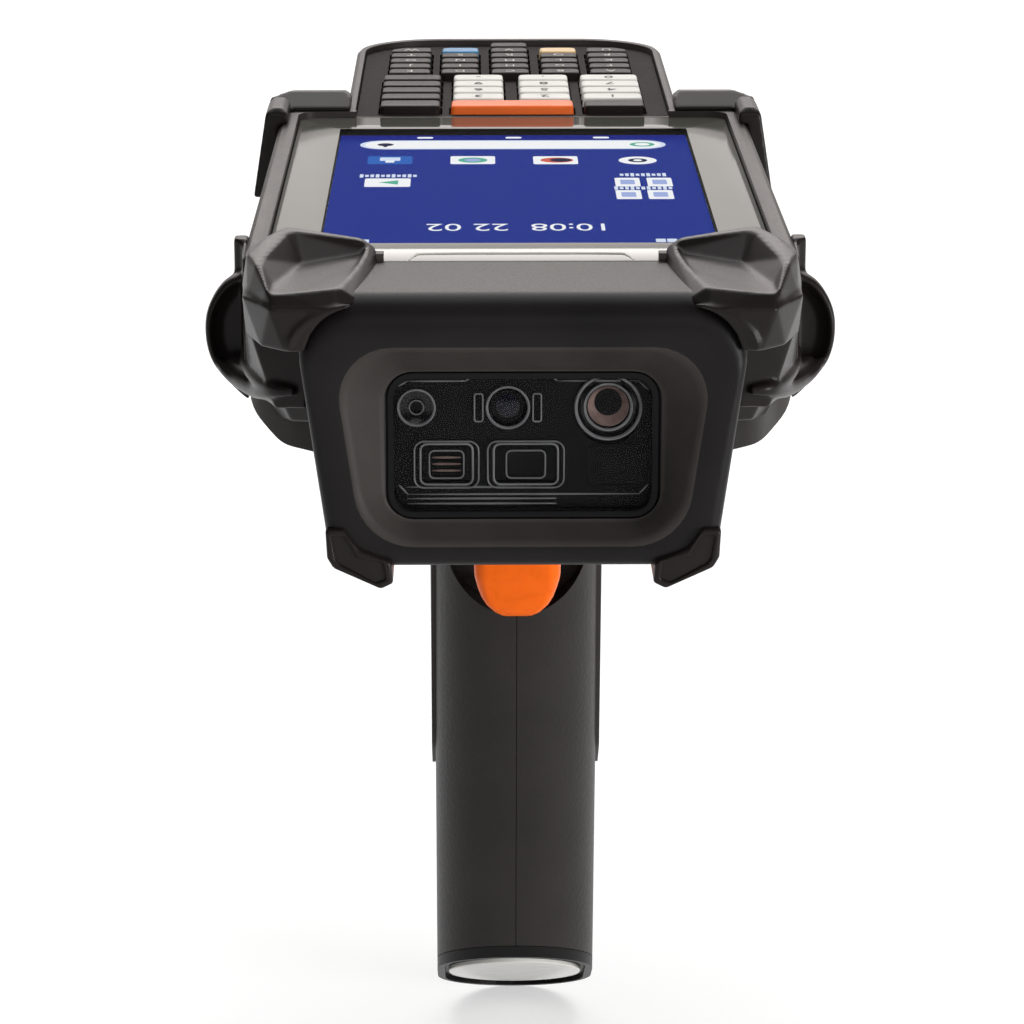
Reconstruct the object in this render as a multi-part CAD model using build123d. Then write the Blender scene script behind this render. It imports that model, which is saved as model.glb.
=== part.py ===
from build123d import *
import math
import os

# Portable barcode data terminal with a pistol grip, in millimetres.
# Pieces are drawn in the display frame: X to the right, Y from the scan nose to the keypad,
# Z up, with the origin on the glass face, at the middle of the display's nose-side edge.
# save() moves them to the part's own frame: origin on the ground, below the middle of the body.

# --- overall sizes -----------------------------------------------------------------------
body_width = 76.0
body_depth = 38.0
nose_reach = 36.0
tail_reach = 186.5
grip_length = 100.0

# --- display and glass ---------------------------------------------------------------------
display_side_border = 6.9
display_length = 93.7
rail_width = 3.0
glass_front_border = 12.5
glass_rear_border = 10.8
glass_thick = 1.1
glass_corner = 3.0
panel_border = 1.9
panel_thick = 2.4

# --- housings --------------------------------------------------------------------------------
wall = 2.2
seat_gap = 0.2
face_gap = 0.1
ledge = 3.4
rail_height = 1.0
rail_bevel = 0.7
notch_front = -10.1
split_depth = 14.0
gasket_thick = 0.6
gasket_inset = 0.8
gasket_width = 1.0
screw_x = 19.5
screw_sink = 2.6
screw_head_r = 2.4
screw_head = 1.8
screw_head_sides = 12
screw_r = 1.2
screw_length = 7.0
bevel_top = 21.2
bevel_in = 0.6
tray_in = 5.0
tray_low = 25.6
keel_half = 23.5
keel_slope = 1.6
edge_round = 5.0
tail_draft = 3.4
tail_round = 4.5
front_round = 7.0
belly_rise_run = 22.0
front_end = -12.9
shoulder_start = 103.5
shoulder_run = 12.0
keypad_width = 55.0
tail_corner = 15.0
tail_depth = 29.0
belly_break = 74.0

# --- keypad -----------------------------------------------------------------------------------
plate_thick = 1.2
plate_rim = 1.7
key_height = 1.4
key_clear = 0.25
key_draft = 4.0
flange_thick = 0.6
flange_lip = 0.5
flange_drop = 0.15
key_travel = 0.8
travel_spare = 0.12
mat_thick = 1.0
board_thick = 1.2
function_row = 110.9
function_depth = 6.0
orange_width = 20.2
outer_width = 9.8
inner_width = 8.4
outer_column = 17.0
inner_column = 5.6
number_row = 118.3
number_pitch = 6.74
number_depth = 5.2
number_rows = 4
alpha_row = 145.4
alpha_pitch = 6.15
alpha_depth = 4.6
alpha_rows = 5
alpha_column = 8.8
alpha_inner_width = 6.5
alpha_outer_width = 7.1
corner_cut = 2.2

# --- battery and dock ----------------------------------------------------------------------------
battery_half = 17.5
battery_start = 110.0
battery_length = 56.0
battery_thick = 11.5
battery_corner = 2.0
latch_half = 6.0
latch_start = 103.0
latch_length = 5.0
latch_travel = 2.6
latch_bite = 1.8
latch_thick = 1.2
contact_count = 6
contact_pitch = 4.0
contact_y = 177.5
contact_width = 2.2
speaker_y = 14.0
speaker_width = 22.0
speaker_length = 16.0
speaker_thick = 4.0

# --- scan nose ---------------------------------------------------------------------------------
nose_top_half = 30.8
nose_low_half = 25.6
nose_low = 36.8
nose_edge = 4.5
nose_corner = 8.0
toe_length = 14.0
nose_wall = 2.5
scoop_top = 7.4
scoop_sill = 3.6
scoop_top_half = 24.4
scoop_low_half = 20.4
scoop_depth = 4.0
scoop_corner = 4.0
window_half = 18.2
window_top = 11.0
window_sill = 2.2
window_corner = 3.5
window_thick = 1.2
bezel_thick = 1.6
window_ledge = 1.0
aimer_x = -14.2
imager_x = -2.0
camera_x = 11.4
optic_row = 16.3
aimer_r = 2.2
imager_r = 2.7
camera_r = 4.4
lamp_rise = 7.1
lamp_left_x = -10.2
lamp_left_width = 7.0
lamp_mid_x = 0.4
lamp_mid_width = 8.6
lamp_height = 5.6
engine_depth = 15.0

# --- rubber corners -----------------------------------------------------------------------------
boot_half = 38.0
horn_inner = 19.2
horn_outer = 37.2
horn_clear = 0.6
horn_rise = 4.6
horn_back = -10.4
horn_front = -37.2
horn_drop = 7.2
skin_low = 22.6
band_half = 40.0
wing_half = 44.5
wing_top = 3.6
wing_low = 27.0
wing_front = -6.0
wing_length = 24.0
dish_r = 5.2
rear_bumper_start = 92.0
rear_bumper_wrap = 11.3
rear_bumper_depth = 7.5
rear_bumper_rise = 3.6
rear_bumper_low = 11.0
rear_bumper_thick = 2.0
rear_bumper_flare = 4.3

# --- pistol grip --------------------------------------------------------------------------------
grip_half = 12.8
grip_deep = 15.7
grip_corner = 12.2
grip_top_y = 50.2
grip_lean = 12.3
saddle_half = 15.0
saddle_front = 30.0
saddle_back = 71.0
saddle_thick = 10.0
saddle_edge = 2.5
seam_gap = 0.1
strap_front = 6.0
strap_start = 12.0
strap_length = 49.0
strap_thick = 2.0
strap_proud = 0.6
base_tilt = 28.5
cap_thick = 1.6
badge_rim = 1.35
badge_thick = 0.8
oval_sides = 12
lanyard_r = 1.75
lanyard_web = 6.0
lanyard_back = 11.8
lanyard_rise = 6.0
throat_half = 11.0
throat_drop = 28.5
throat_back = 47.5
trigger_width = 13.2
trigger_drop = 27.0
trigger_front = 31.0
trigger_thick = 7.0
pin_y = 41.0
pin_drop = 6.0
pin_r = 1.5
pin_clear = 0.05

# --- derived places -----------------------------------------------------------------------------
body_half = body_width / 2
key_half = keypad_width / 2
glass_half = body_half - rail_width
display_half = glass_half - display_side_border
bevel_half = body_half - bevel_in
tray_half = body_half - tray_in
boot_shift = body_half - boot_half
notch_half = horn_inner - horn_clear + boot_shift
glass_front = -glass_front_border
glass_end = display_length + glass_rear_border
plate_front = glass_end + 1.2
plate_end = tail_reach - plate_rim - 1.0
plate_half = key_half - plate_rim
flange_top = -plate_thick - flange_drop
flange_low = flange_top - flange_thick
mat_top = flange_low - key_travel - travel_spare
board_top = mat_top - mat_thick
board_low = board_top - board_thick
lower_top = -split_depth - gasket_thick
belly = -body_depth
tail_belly = -tail_depth
tail_flat = belly_break + belly_rise_run
scoop_low = nose_low - scoop_sill
window_low = scoop_low - window_sill
lamp_row = window_low - lamp_rise
window_face = -nose_reach + scoop_depth
window_back = window_face + window_thick
bezel_face = window_back + window_ledge + face_gap
bezel_back = bezel_face + bezel_thick
nose_back = front_end - face_gap
grip_top = belly - face_gap
grip_turn = math.radians(grip_lean)
base_turn = math.radians(base_tilt)
base_y = grip_top_y + grip_length * math.tan(grip_turn)
base_z = grip_top - grip_length
base_depth = grip_deep / math.cos(base_turn + grip_turn)
ground = base_z - base_depth * math.sin(base_turn)
mid_length = (tail_reach + horn_front) / 2
pin_z = belly - pin_drop
throat_low = belly - throat_drop
trigger_low = belly - trigger_drop
battery_end = battery_start + battery_length


# --- helpers ------------------------------------------------------------------------------------
def block(x0, x1, y0, y1, z0, z1):
    middle = Pos((x0 + x1) / 2, (y0 + y1) / 2, (z0 + z1) / 2)
    return middle * Box(x1 - x0, y1 - y0, z1 - z0)


def rounded(points, radius):
    """A face with straight sides and one corner radius, or a list of them where 0 is a sharp corner."""
    return make_face(FilletPolyline(*points, radius=radius, close=True))


def polygon(points):
    return make_face(Polyline(*points, close=True))


def four_corners(half, front, end):
    return [(half, front), (half, end), (-half, end), (-half, front)]


def trapezoid(top_half, low_half, top, low):
    return [(top_half, top), (low_half, low), (-low_half, low), (-top_half, top)]


def front_plane(y):
    """X to the right and Z up, at y, with its normal towards the nose."""
    return Plane(origin=(0, y, 0), x_dir=(1, 0, 0), z_dir=(0, -1, 0))


def along_y(face, y0, y1):
    """A face drawn in X and Z, extruded from y0 back to y1."""
    return extrude(front_plane(y1) * face, amount=y1 - y0)


def along_x(face, x0, x1):
    """A face drawn in Y and Z, extruded from x0 to x1."""
    plane = Plane(origin=(x0, 0, 0), x_dir=(0, 1, 0), z_dir=(1, 0, 0))
    return extrude(plane * face, amount=x1 - x0)


def up_z(face, z0, z1):
    """A face drawn in X and Y, extruded from z0 to z1."""
    return extrude(Pos(0, 0, z0) * face, amount=z1 - z0)


def bar_x(x0, x1, y, z, r):
    return Pos((x0 + x1) / 2, y, z) * Rot(0, 90, 0) * Cylinder(r, x1 - x0)


def bar_y(y0, y1, x, z, r):
    return Pos(x, (y0 + y1) / 2, z) * Rot(90, 0, 0) * Cylinder(r, y1 - y0)


def flat_sided(first, last):
    """A solid between two rings of as many points, each side split into two flat triangles."""
    faces = [polygon(first), polygon(last)]
    count = len(first)
    for i in range(count):
        j = (i + 1) % count
        faces.append(polygon([first[i], first[j], last[i]]))
        faces.append(polygon([first[j], last[j], last[i]]))
    return Solid(Shell(faces))


def mirrored(shape):
    return mirror(shape, about=Plane.YZ)


def both_sides(shape):
    return Compound([shape, mirrored(shape)])


def save(name, shape):
    export_step(Pos(0, -mid_length, -ground) * shape, f"parts/{name}.step")


# --- housings -----------------------------------------------------------------------------------
def body_points(inset):
    """Plan of the body: wide beside the display, a shoulder, then the narrow keypad."""
    wide = body_half - inset
    slim = key_half - inset
    turn = shoulder_start - inset / 2
    right = [(wide, front_end + inset), (wide, turn), (slim, turn + shoulder_run),
             (slim, tail_reach - inset)]
    return right + [(-x, y) for x, y in reversed(right)]


def body_plan(inset, front_corner=0.0):
    tail = tail_corner - inset
    radii = [front_corner, 8.0, 7.0, tail]
    return rounded(body_points(inset), radii + radii[::-1])


def cut_corners(half, front, end, cut):
    """A rectangle with its two far corners cut off, for the hollows under the round tail."""
    right = [(half, front), (half, end - cut), (half - cut, end)]
    return polygon(right + [(-x, y) for x, y in reversed(right)])


def display_well():
    half = glass_half - ledge
    return polygon(four_corners(half, front_end + wall, glass_end - ledge))


def key_well(inset):
    half = plate_half - 1.0 - inset
    return cut_corners(half, plate_front + 0.8 + inset, plate_end - 1.0 - inset, tail_corner / 2 - inset / 2)


def plate_plan(grow):
    corner = tail_corner - plate_rim + grow
    corners = four_corners(plate_half + grow, plate_front - grow, plate_end + grow)
    return rounded(corners, [1.0, corner, corner, 1.0])


def glass_plan(grow):
    """A rectangle whose front corners are notched for the rubber corners."""
    side = glass_half + grow
    tab = notch_half + grow
    right = [(tab, glass_front - grow), (tab, notch_front - grow), (side, notch_front - grow),
             (side, glass_end + grow)]
    left = [(-x, y) for x, y in reversed(right)]
    corner = glass_corner + grow
    return rounded(right + left, [0.8, 0, 0, corner, corner, 0, 0, 0.8])


def upper_housing():
    shell = up_z(body_plan(0), -split_depth, rail_height)
    shell = chamfer(shell.edges().group_by(Axis.Z)[-1], rail_bevel)
    seat = -glass_thick - face_gap
    shell -= up_z(glass_plan(seat_gap), seat, rail_height + 1)
    tab = notch_half + seat_gap
    shell -= block(-tab, tab, front_end - 1, glass_front + 1, seat, rail_height + 1)
    shell -= up_z(plate_plan(seat_gap), -plate_thick, rail_height + 1)
    shell -= block(-plate_half, plate_half, glass_end - 1, plate_front + 1, 0, rail_height + 1)
    shell -= up_z(display_well(), -split_depth, 0)
    shell -= up_z(key_well(0), board_low, 0)
    shell -= up_z(key_well(1.8), -split_depth, 0)
    return shell


def housing_gasket():
    outer = up_z(body_plan(gasket_inset), lower_top, -split_depth)
    return outer - up_z(body_plan(gasket_inset + gasket_width), lower_top - 1, -split_depth + 1)


def lower_outline():
    """Half of the wide section: a tray with a keel below it for the grip."""
    return [(body_half, lower_top), (bevel_half, -bevel_top), (tray_half, -tray_low),
            (keel_half + keel_slope, -tray_low - 2.0), (keel_half, belly)]


def lower_shape(grow):
    """Lower body: wide ahead, narrow behind, its belly rising to the tail."""
    right = lower_outline()
    half = [0, edge_round, edge_round, 0, 0]
    wide_face = rounded(right + [(-x, z) for x, z in reversed(right)], half + half[::-1])
    slim_face = rounded(trapezoid(key_half, key_half - tail_draft, lower_top, tail_belly),
                        [0, tail_round, tail_round, 0])
    if grow:
        wide_face = offset(wide_face, grow)
        slim_face = offset(slim_face, grow)
    body = along_y(wide_face, front_end - 1, shoulder_start + shoulder_run + 1)
    body += along_y(slim_face, shoulder_start, tail_reach + 1)
    body &= up_z(body_plan(-grow, front_round), belly - 1, lower_top)
    side = [
        (front_end - 1, lower_top + 1),
        (front_end - 1, belly - grow),
        (belly_break, belly - grow),
        (tail_flat, tail_belly - grow),
        (tail_reach - 2.0, tail_belly - grow),
        (tail_reach + 1.0, lower_top + 1),
    ]
    return body & along_x(rounded(side, [0, front_round, 0, 0, 5.0, 0]), -50, 50)


def lower_hollow():
    """The room inside the lower housing, with plain corners, a wall away from the outside."""
    top = lower_top + 1
    right = [(body_half, top + wall)] + lower_outline()[1:]
    section = polygon(right + [(-x, z) for x, z in reversed(right)])
    wide = along_y(offset(section, -wall, kind=Kind.INTERSECTION), front_end + wall + 2.0, tail_flat)
    wide -= above_slope(wall)
    half = key_half - tail_draft - wall
    slim = up_z(cut_corners(half, belly_break, tail_reach - wall - 2.0, tail_corner / 2),
                tail_belly + wall, top)
    room = block(-body_half + wall, body_half - wall, belly_break, shoulder_start, tail_belly + wall, top)
    return wide + slim + room


def above_slope(gap):
    """What lies behind and below the line where the belly rises to the tail."""
    low = belly - 1
    points = [(belly_break - gap / 2, low), (belly_break - gap / 2, belly + gap),
              (tail_flat - gap / 2, tail_belly + gap), (tail_flat + 1, tail_belly + gap), (tail_flat + 1, low)]
    return along_x(polygon(points), -50, 50)


def screw_places():
    slim = key_half - tail_draft - 6.0
    return [(side * x, y) for side in (1, -1) for x, y in ((screw_x, 6.0), (slim, tail_reach - 12.0))]


def screw_floor(y):
    return belly if y < belly_break else tail_belly


def contact_pads(clear, z0, z1):
    """The row of charging contacts under the tail."""
    half = contact_width / 2 + clear
    places = [(i - (contact_count - 1) / 2) * contact_pitch for i in range(contact_count)]
    return [block(x - half, x + half, contact_y - half, contact_y + half, z0, z1) for x in places]


def lower_housing():
    shell = lower_shape(0) - lower_hollow()
    post = RegularPolygon(screw_head_r + 1.2, 6)
    hole = RegularPolygon(screw_r, 6)
    sink = RegularPolygon(screw_head_r + seat_gap, screw_head_sides)
    for x, y in screw_places():
        shell += up_z(Pos(x, y) * post, screw_floor(y) + 1.0, lower_top - 2.0)
    for x, y in screw_places():
        floor = screw_floor(y)
        shell -= up_z(Pos(x, y) * sink, floor - 1, floor + screw_sink)
        shell -= up_z(Pos(x, y) * hole, floor, floor + screw_sink + screw_length)
    bay = four_corners(battery_half + 0.2, battery_start - 0.2, battery_end + 0.2)
    shell -= up_z(rounded(bay, battery_corner + 0.2), tail_belly - 1, tail_belly + wall + 1)
    slot = latch_start - latch_travel - 0.3
    shell -= block(-latch_half - 0.3, latch_half + 0.3, slot, latch_start + latch_length + 0.3,
                   tail_belly - 1, tail_belly + wall + 1)
    return shell - contact_pads(0.02, tail_belly - 1, tail_belly + wall + 1)


def dock_contacts():
    return Compound(contact_pads(0, tail_belly + 0.3, tail_belly + wall + 1.0))


def housing_screws():
    screws = []
    for x, y in screw_places():
        seat = screw_floor(y) + screw_sink
        head = up_z(Pos(x, y) * RegularPolygon(screw_head_r, screw_head_sides), seat - screw_head, seat)
        shank = up_z(Pos(x, y) * RegularPolygon(screw_r - 0.03, 6), seat, seat + screw_length - 0.5)
        screws.append(head + shank)
    return Compound(screws)


# --- display stack ------------------------------------------------------------------------------
def touch_glass():
    glass = up_z(glass_plan(0), -glass_thick, 0)
    return chamfer(glass.edges().group_by(Axis.Z)[-1], 0.25)


def display_panel():
    half = display_half + panel_border
    top = -glass_thick - face_gap
    front = -panel_border
    panel = block(-half, half, front, display_length + panel_border + 3.0, top - panel_thick, top)
    flex = block(-12, 12, display_length + 2, display_length + 4.5, top - panel_thick - 1.2,
                 top - panel_thick)
    return panel + flex


def inner_chassis():
    """A pressed tray that carries the display and the main board."""
    top = -glass_thick - face_gap - panel_thick - 1.4
    half = glass_half - ledge - 0.3
    front = front_end + wall + 0.3
    end = glass_end - ledge - 0.3
    low = -split_depth + 1.0
    tray = block(-half, half, front, end, low, top)
    tray -= block(1.2 - half, half - 1.2, front + 1.2, end - 1.2, low - 1, top - 1.2)
    for y in (18.0, 47.0, 76.0):
        tray -= block(-19.0, 19.0, y - 7.5, y + 7.5, top - 3, top + 1)
    return tray


def main_board():
    half = glass_half - ledge - 1.9
    front = front_end + wall + 2.2
    top = -split_depth + 3.4
    board = block(-half, half, front, glass_end - ledge - 2.2, top - 1.0, top)
    for x, y, w, d in ((-12, 20, 22, 18), (14, 22, 18, 24), (0, 58, 30, 22), (-16, 84, 14, 12)):
        board += block(x - w / 2, x + w / 2, y - d / 2, y + d / 2, top - 3.0, top - 1.0)
    return board


def loudspeaker():
    low = belly + wall + face_gap
    half = speaker_width / 2
    deep = speaker_length / 2
    body = block(-half, half, speaker_y - deep, speaker_y + deep, low, low + speaker_thick)
    magnet = RegularPolygon(deep - 2.0, 8)
    return body + up_z(Pos(0, speaker_y) * magnet, low + speaker_thick, low + speaker_thick + 1.6)


# --- keypad -------------------------------------------------------------------------------------
def key_layout():
    """Node, x, y, width, depth and cut corner of every key."""
    keys = [
        ("key_function_left", -outer_column, function_row, outer_width, function_depth, 0),
        ("key_scan_orange", 0.0, function_row, orange_width, function_depth, 0),
        ("key_function_right", outer_column, function_row, outer_width, function_depth, 0),
    ]
    columns = (
        ("key_side", -outer_column, outer_width),
        ("key_number_left", -inner_column, inner_width),
        ("key_number_middle", inner_column, inner_width),
        ("key_number_right", outer_column, outer_width),
    )
    for row in range(number_rows):
        y = number_row + row * number_pitch
        for name, x, width in columns:
            keys.append((f"{name}_{row + 1}", x, y, width, number_depth, 0))
    for row in range(alpha_rows):
        y = alpha_row + row * alpha_pitch
        for column in range(-2, 3):
            width = alpha_outer_width if abs(column) == 2 else alpha_inner_width
            last = row == alpha_rows - 1
            cut = column // 2 if last and abs(column) == 2 else 0
            name = f"keys_letter_row_{row + 1}"
            if last and column == -1:
                name = "key_blue"
            if last and column == 1:
                name = "key_yellow"
            keys.append((name, column * alpha_column, y, width, alpha_depth, cut))
    y = alpha_row + alpha_rows * alpha_pitch
    keys.append(("key_power", 0.0, y, alpha_inner_width, alpha_depth, 0))
    return keys


def key_flare():
    """How much each side of a cap widens from its top down to its flange."""
    return math.tan(math.radians(key_draft)) * (key_height - flange_top)


def key_plan(half, deep, cut):
    """A rectangle; cut is +1 or -1 where its far right or left corner is cut off."""
    corners = four_corners(half, -deep, deep)
    if cut:
        side = cut * half
        inner = side - cut * corner_cut
        corners = [(-side, -deep), (side, -deep), (side, deep - corner_cut), (inner, deep), (-side, deep)]
        corners = corners[::cut]
    return polygon(corners)


def keycap(x, y, width, depth, cut):
    half = width / 2 + key_flare()
    deep = depth / 2 + key_flare()
    plan = Pos(x, y, flange_top) * key_plan(half, deep, cut)
    cap = extrude(plan, amount=key_height - flange_top, taper=key_draft)
    reach = half + key_clear + flange_lip
    return cap + block(x - reach, x + reach, y - deep, y + deep, flange_low, flange_top)


def keypad_plate():
    plate = up_z(plate_plan(0), -plate_thick, 0)
    openings = []
    for _, x, y, width, depth, _ in key_layout():
        half = width / 2 + key_flare() + key_clear
        deep = depth / 2 + key_flare() + key_clear
        openings.append(block(x - half, x + half, y - deep, y + deep, -plate_thick - 1, 1))
    return plate - openings


def keypad_mat():
    mat = up_z(key_well(0.3), board_top, mat_top)
    rib = plate_half - 1.0 - 0.3
    start = function_row
    end = alpha_row + alpha_pitch * 3
    return mat + both_sides(block(rib - 1.0, rib, start, end, mat_top - 0.2, -plate_thick))


def keypad_board():
    return up_z(key_well(0.3), board_low, board_top)


def save_keys():
    nodes = {}
    for name, *place in key_layout():
        nodes.setdefault(name, []).append(keycap(*place))
    for name, caps in nodes.items():
        save(name, caps[0] if len(caps) == 1 else Compound(caps))


# --- scan nose ----------------------------------------------------------------------------------
def nose_block(grow):
    """The outer form of the nose: a tapering front with a rounded top edge."""
    face = rounded(
        trapezoid(nose_top_half + grow, nose_low_half + grow, grow, -nose_low - grow),
        [nose_corner + grow, 4.0 + grow, 4.0 + grow, nose_corner + grow])
    side = [
        (-nose_reach - grow, grow),
        (-nose_reach - grow, -nose_low - grow),
        (nose_back + 2 * grow, -nose_low - grow),
        (nose_back + 2 * grow, grow),
    ]
    edge = nose_edge + grow
    body = along_y(face, -nose_reach - grow, nose_back + 2 * grow)
    return body & along_x(rounded(side, [edge, 2.0, 0, 0]), -body_half, body_half)


def window_face_at(y, grow):
    points = [(window_half + grow, -window_top + grow), (window_half + grow, -window_low - grow),
              (-window_half - grow, -window_low - grow), (-window_half - grow, -window_top + grow)]
    return front_plane(y) * rounded(points, window_corner + grow)


def bevelled(top_half, low_half, top, low, cut, y):
    """The corners of a trapezoid facing the front, each cut off."""
    right = [(top_half - cut, top), (top_half, top - cut), (low_half, low + cut), (low_half - cut, low)]
    return [(x, y, z) for x, z in right + [(-x, z) for x, z in reversed(right)]]


def nose_frame():
    frame = nose_block(0)
    mouth = bevelled(scoop_top_half, scoop_low_half, -scoop_top, -scoop_low, scoop_corner,
                     -nose_reach - 0.01)
    side = window_half + 0.1
    floor = bevelled(side, side, 0.1 - window_top, -0.1 - window_low, window_corner / 2, window_face)
    frame -= flat_sided(mouth, floor)
    frame -= extrude(window_face_at(window_back, 0.1), amount=window_thick + 0.01)
    frame -= extrude(window_face_at(bezel_face, -window_ledge), amount=window_ledge + face_gap + 0.01)
    inner = rounded(
        trapezoid(nose_top_half - nose_wall, nose_low_half - nose_wall, -nose_wall - 1.5,
                  -nose_low + nose_wall), [nose_corner - nose_wall, 0, 0, nose_corner - nose_wall])
    return frame - along_y(inner, bezel_face - face_gap, nose_back + 1)


def nose_feet():
    """Rubber toes under the lower corners of the nose."""
    profile = [(0.3, 5.4), (0.1, 1.6), (-0.7, 0.2), (-7.1, -2.6), (-8.4, -1.8), (-8.2, 1.2),
               (-3.6, 2.8), (-1.4, 5.4)]
    points = [(nose_low_half + x, z - nose_low) for x, z in profile]
    toe = along_y(polygon(points), -nose_reach - 1.0, -nose_reach + toe_length)
    return both_sides(toe - nose_block(0.05))


def scan_window():
    return extrude(window_face_at(window_back, 0), amount=window_thick)


def optic_holes(y0, y1, grow):
    lamp = Rectangle(lamp_left_width + 2 * grow, lamp_height + 2 * grow)
    wide = Rectangle(lamp_mid_width + 2 * grow, lamp_height + 2 * grow)
    return [
        bar_y(y0, y1, aimer_x, -optic_row, aimer_r + grow),
        bar_y(y0, y1, imager_x, -optic_row, imager_r + grow),
        bar_y(y0, y1, camera_x, -optic_row - 0.8, camera_r + grow),
        along_y(Pos(lamp_left_x, -lamp_row) * lamp, y0, y1),
        along_y(Pos(lamp_mid_x, -lamp_row) * wide, y0, y1),
    ]


def scan_bezel():
    half = window_half + 1.2
    plate = block(-half, half, bezel_face, bezel_back, -window_low - 1.2, -window_top + 1.2)
    return plate - optic_holes(bezel_face - 1, bezel_back + 1, 0)


def scan_engine():
    """The imager module: a block with its aimer, imager and lamp lenses."""
    face = bezel_back + face_gap
    body = block(-window_half + 0.6, 5.6, face, face + engine_depth, -window_low + 3.2,
                 -window_top - 1.4)
    lenses = optic_holes(bezel_face + 0.6, face + 0.5, -0.25)
    for lens in (lenses[0], lenses[1], lenses[3], lenses[4]):
        body += lens
    return body


def camera_module():
    face = bezel_back + face_gap
    z = -optic_row - 0.8
    body = block(camera_x - 5.2, camera_x + 5.6, face, face + 7.0, z - 5.2, z + 5.2)
    return body + bar_y(bezel_face + 0.8, face + 0.5, camera_x, z, camera_r - 0.25)


# --- rubber corners -----------------------------------------------------------------------------
def sloped(low_points, low_z, top_points, top_z):
    """A solid between two outlines at two heights, with flat sloping sides."""
    return flat_sided([(x, y, low_z) for x, y in low_points], [(x, y, top_z) for x, y in top_points])


def horn():
    """The raised rubber corner: a hipped block with a pocket that opens to the front.

    The boot's outlines are drawn for a body of half width boot_half and move out with the side.
    """
    foot = [(horn_inner, horn_back), (21.4, -34.6), (24.4, horn_front), (33.4, horn_front + 0.2),
            (horn_outer, -30.0), (horn_outer + 0.6, horn_back)]
    crown = [(horn_inner + 1.6, horn_back - 0.6), (26.0, -33.6), (27.6, horn_front + 1.8),
             (32.4, horn_front + 2.0), (horn_outer - 1.4, -28.8), (horn_outer - 1.0, horn_back - 0.6)]
    body = sloped(foot, -1.5, crown, horn_rise + 0.4)
    across = [(horn_inner - 1, -2.0), (horn_inner - 1, 0.6), (21.0, 3.0), (31.8, horn_rise),
              (35.0, horn_rise - 0.5), (horn_outer + 1, 1.2), (horn_outer + 1, -2.0)]
    body &= along_y(polygon(across), -40, 0)
    along = [(horn_back + 1, -2.0), (horn_back + 1, horn_rise + 0.2), (-14.5, horn_rise + 0.2),
             (-28.0, 3.2), (-34.5, 0.9), (horn_front - 1, 0.3), (horn_front - 1, -2.0)]
    body &= along_x(polygon(along), 0, 50)
    floor = [(16.0, -19.4), (29.8, -19.4), (33.2, -34.5), (33.2, -42.0), (16.0, -42.0)]
    mouth = [(16.0, -15.4), (33.4, -15.4), (37.2, -28.0), (37.2, -42.0), (16.0, -42.0)]
    return body - sloped(floor, 0.9, mouth, horn_rise + 0.6)


def horn_skirt():
    """The rubber below the horn, down to a curve round the nose's rounded front corner."""
    plan = [(horn_inner + 1.8, -13.0), (21.4, -34.6), (24.4, horn_front), (33.4, horn_front + 0.2),
            (horn_outer, -30.0), (horn_outer + 0.6, -13.0)]
    skirt = up_z(rounded(plan, [0, 0, 1.5, 2.5, 3.0, 0]), -horn_drop, -1.4)
    corners = [nose_corner, 4.0, 4.0, nose_corner]
    nose_face = rounded(trapezoid(nose_top_half, nose_low_half, -1.5, -nose_low), corners)
    return skirt - along_y(nose_face, horn_front - 1, -nose_reach + 1)


def side_skin():
    """Rubber over the side between the horn and the ear, and a block above the ear."""
    section = [(29.0, -1.0), (horn_outer + 0.3, -1.0), (horn_outer, -13.0), (34.9, -19.6),
               (32.4, -skin_low), (27.0, -skin_low)]
    skin = along_y(rounded(section, [0, 0, 6.0, 0, 0, 0]), -27.0, -4.0)
    plan = [(31.0, front_end - 3), (band_half - 1.5, front_end - 1.0), (band_half, front_end + 3),
            (band_half, 6.0), (boot_half, 10.0), (31.0, 10.0)]
    return skin + up_z(polygon(plan), -6.0, 0.6)


def wing():
    """The round ear that stands out from the side, with a dish in its front."""
    face = [(33.0, -wing_top), (38.6, -wing_top), (41.4, -4.9), (43.4, -8.0), (wing_half, -12.6),
            (44.0, -16.4), (42.4, -19.6), (40.0, -22.6), (36.8, -25.2), (33.0, -wing_low)]
    end = wing_front + wing_length
    ear = along_y(polygon(face), wing_front, end)
    plan = [(30.0, wing_front), (41.5, wing_front), (wing_half, wing_front + 3.0),
            (wing_half - 0.6, wing_front + 9.0), (boot_half + 0.8, end), (30.0, end)]
    ear &= up_z(polygon(plan), -40, 5)
    dish = front_plane(wing_front + 2.6) * Pos(40.0, -12.8) * RegularPolygon(dish_r - 2.7, 8)
    return ear - extrude(dish, amount=6.0, taper=-24)


def corner_boot():
    boot = Pos(boot_shift, 0, 0) * (horn() + horn_skirt() + side_skin() + wing())
    boot -= nose_block(0.05)
    boot -= lower_shape(0.05)
    boot -= up_z(body_plan(-0.05), lower_top - 0.1, rail_height + 0.05)
    return max(boot.solids(), key=lambda solid: solid.volume)


def rear_bumper():
    """An L of rubber over each rear corner of the display section, flared at its foot."""
    outer = up_z(body_plan(-rear_bumper_flare), -rear_bumper_low, rear_bumper_rise)
    flare = trapezoid(body_half + rear_bumper_thick, body_half + rear_bumper_flare, rear_bumper_rise,
                      -rear_bumper_low)
    outer &= along_y(polygon(flare), 0, glass_end + rear_bumper_depth)
    back = glass_end + rear_bumper_depth
    arm = block(body_half - rear_bumper_wrap, 60, glass_end + seat_gap, back, 0, rear_bumper_rise)
    leg = block(body_half - 1.4, 60, rear_bumper_start, back, -rear_bumper_low, rear_bumper_rise)
    bumper = outer & (arm + leg)
    bumper -= up_z(body_plan(-0.05), -split_depth - 1, rail_height + 0.05)
    top = bumper.edges().filter_by(Axis.Z, reverse=True).group_by(Axis.Z)[-1]
    return chamfer(top, 0.9)


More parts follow.
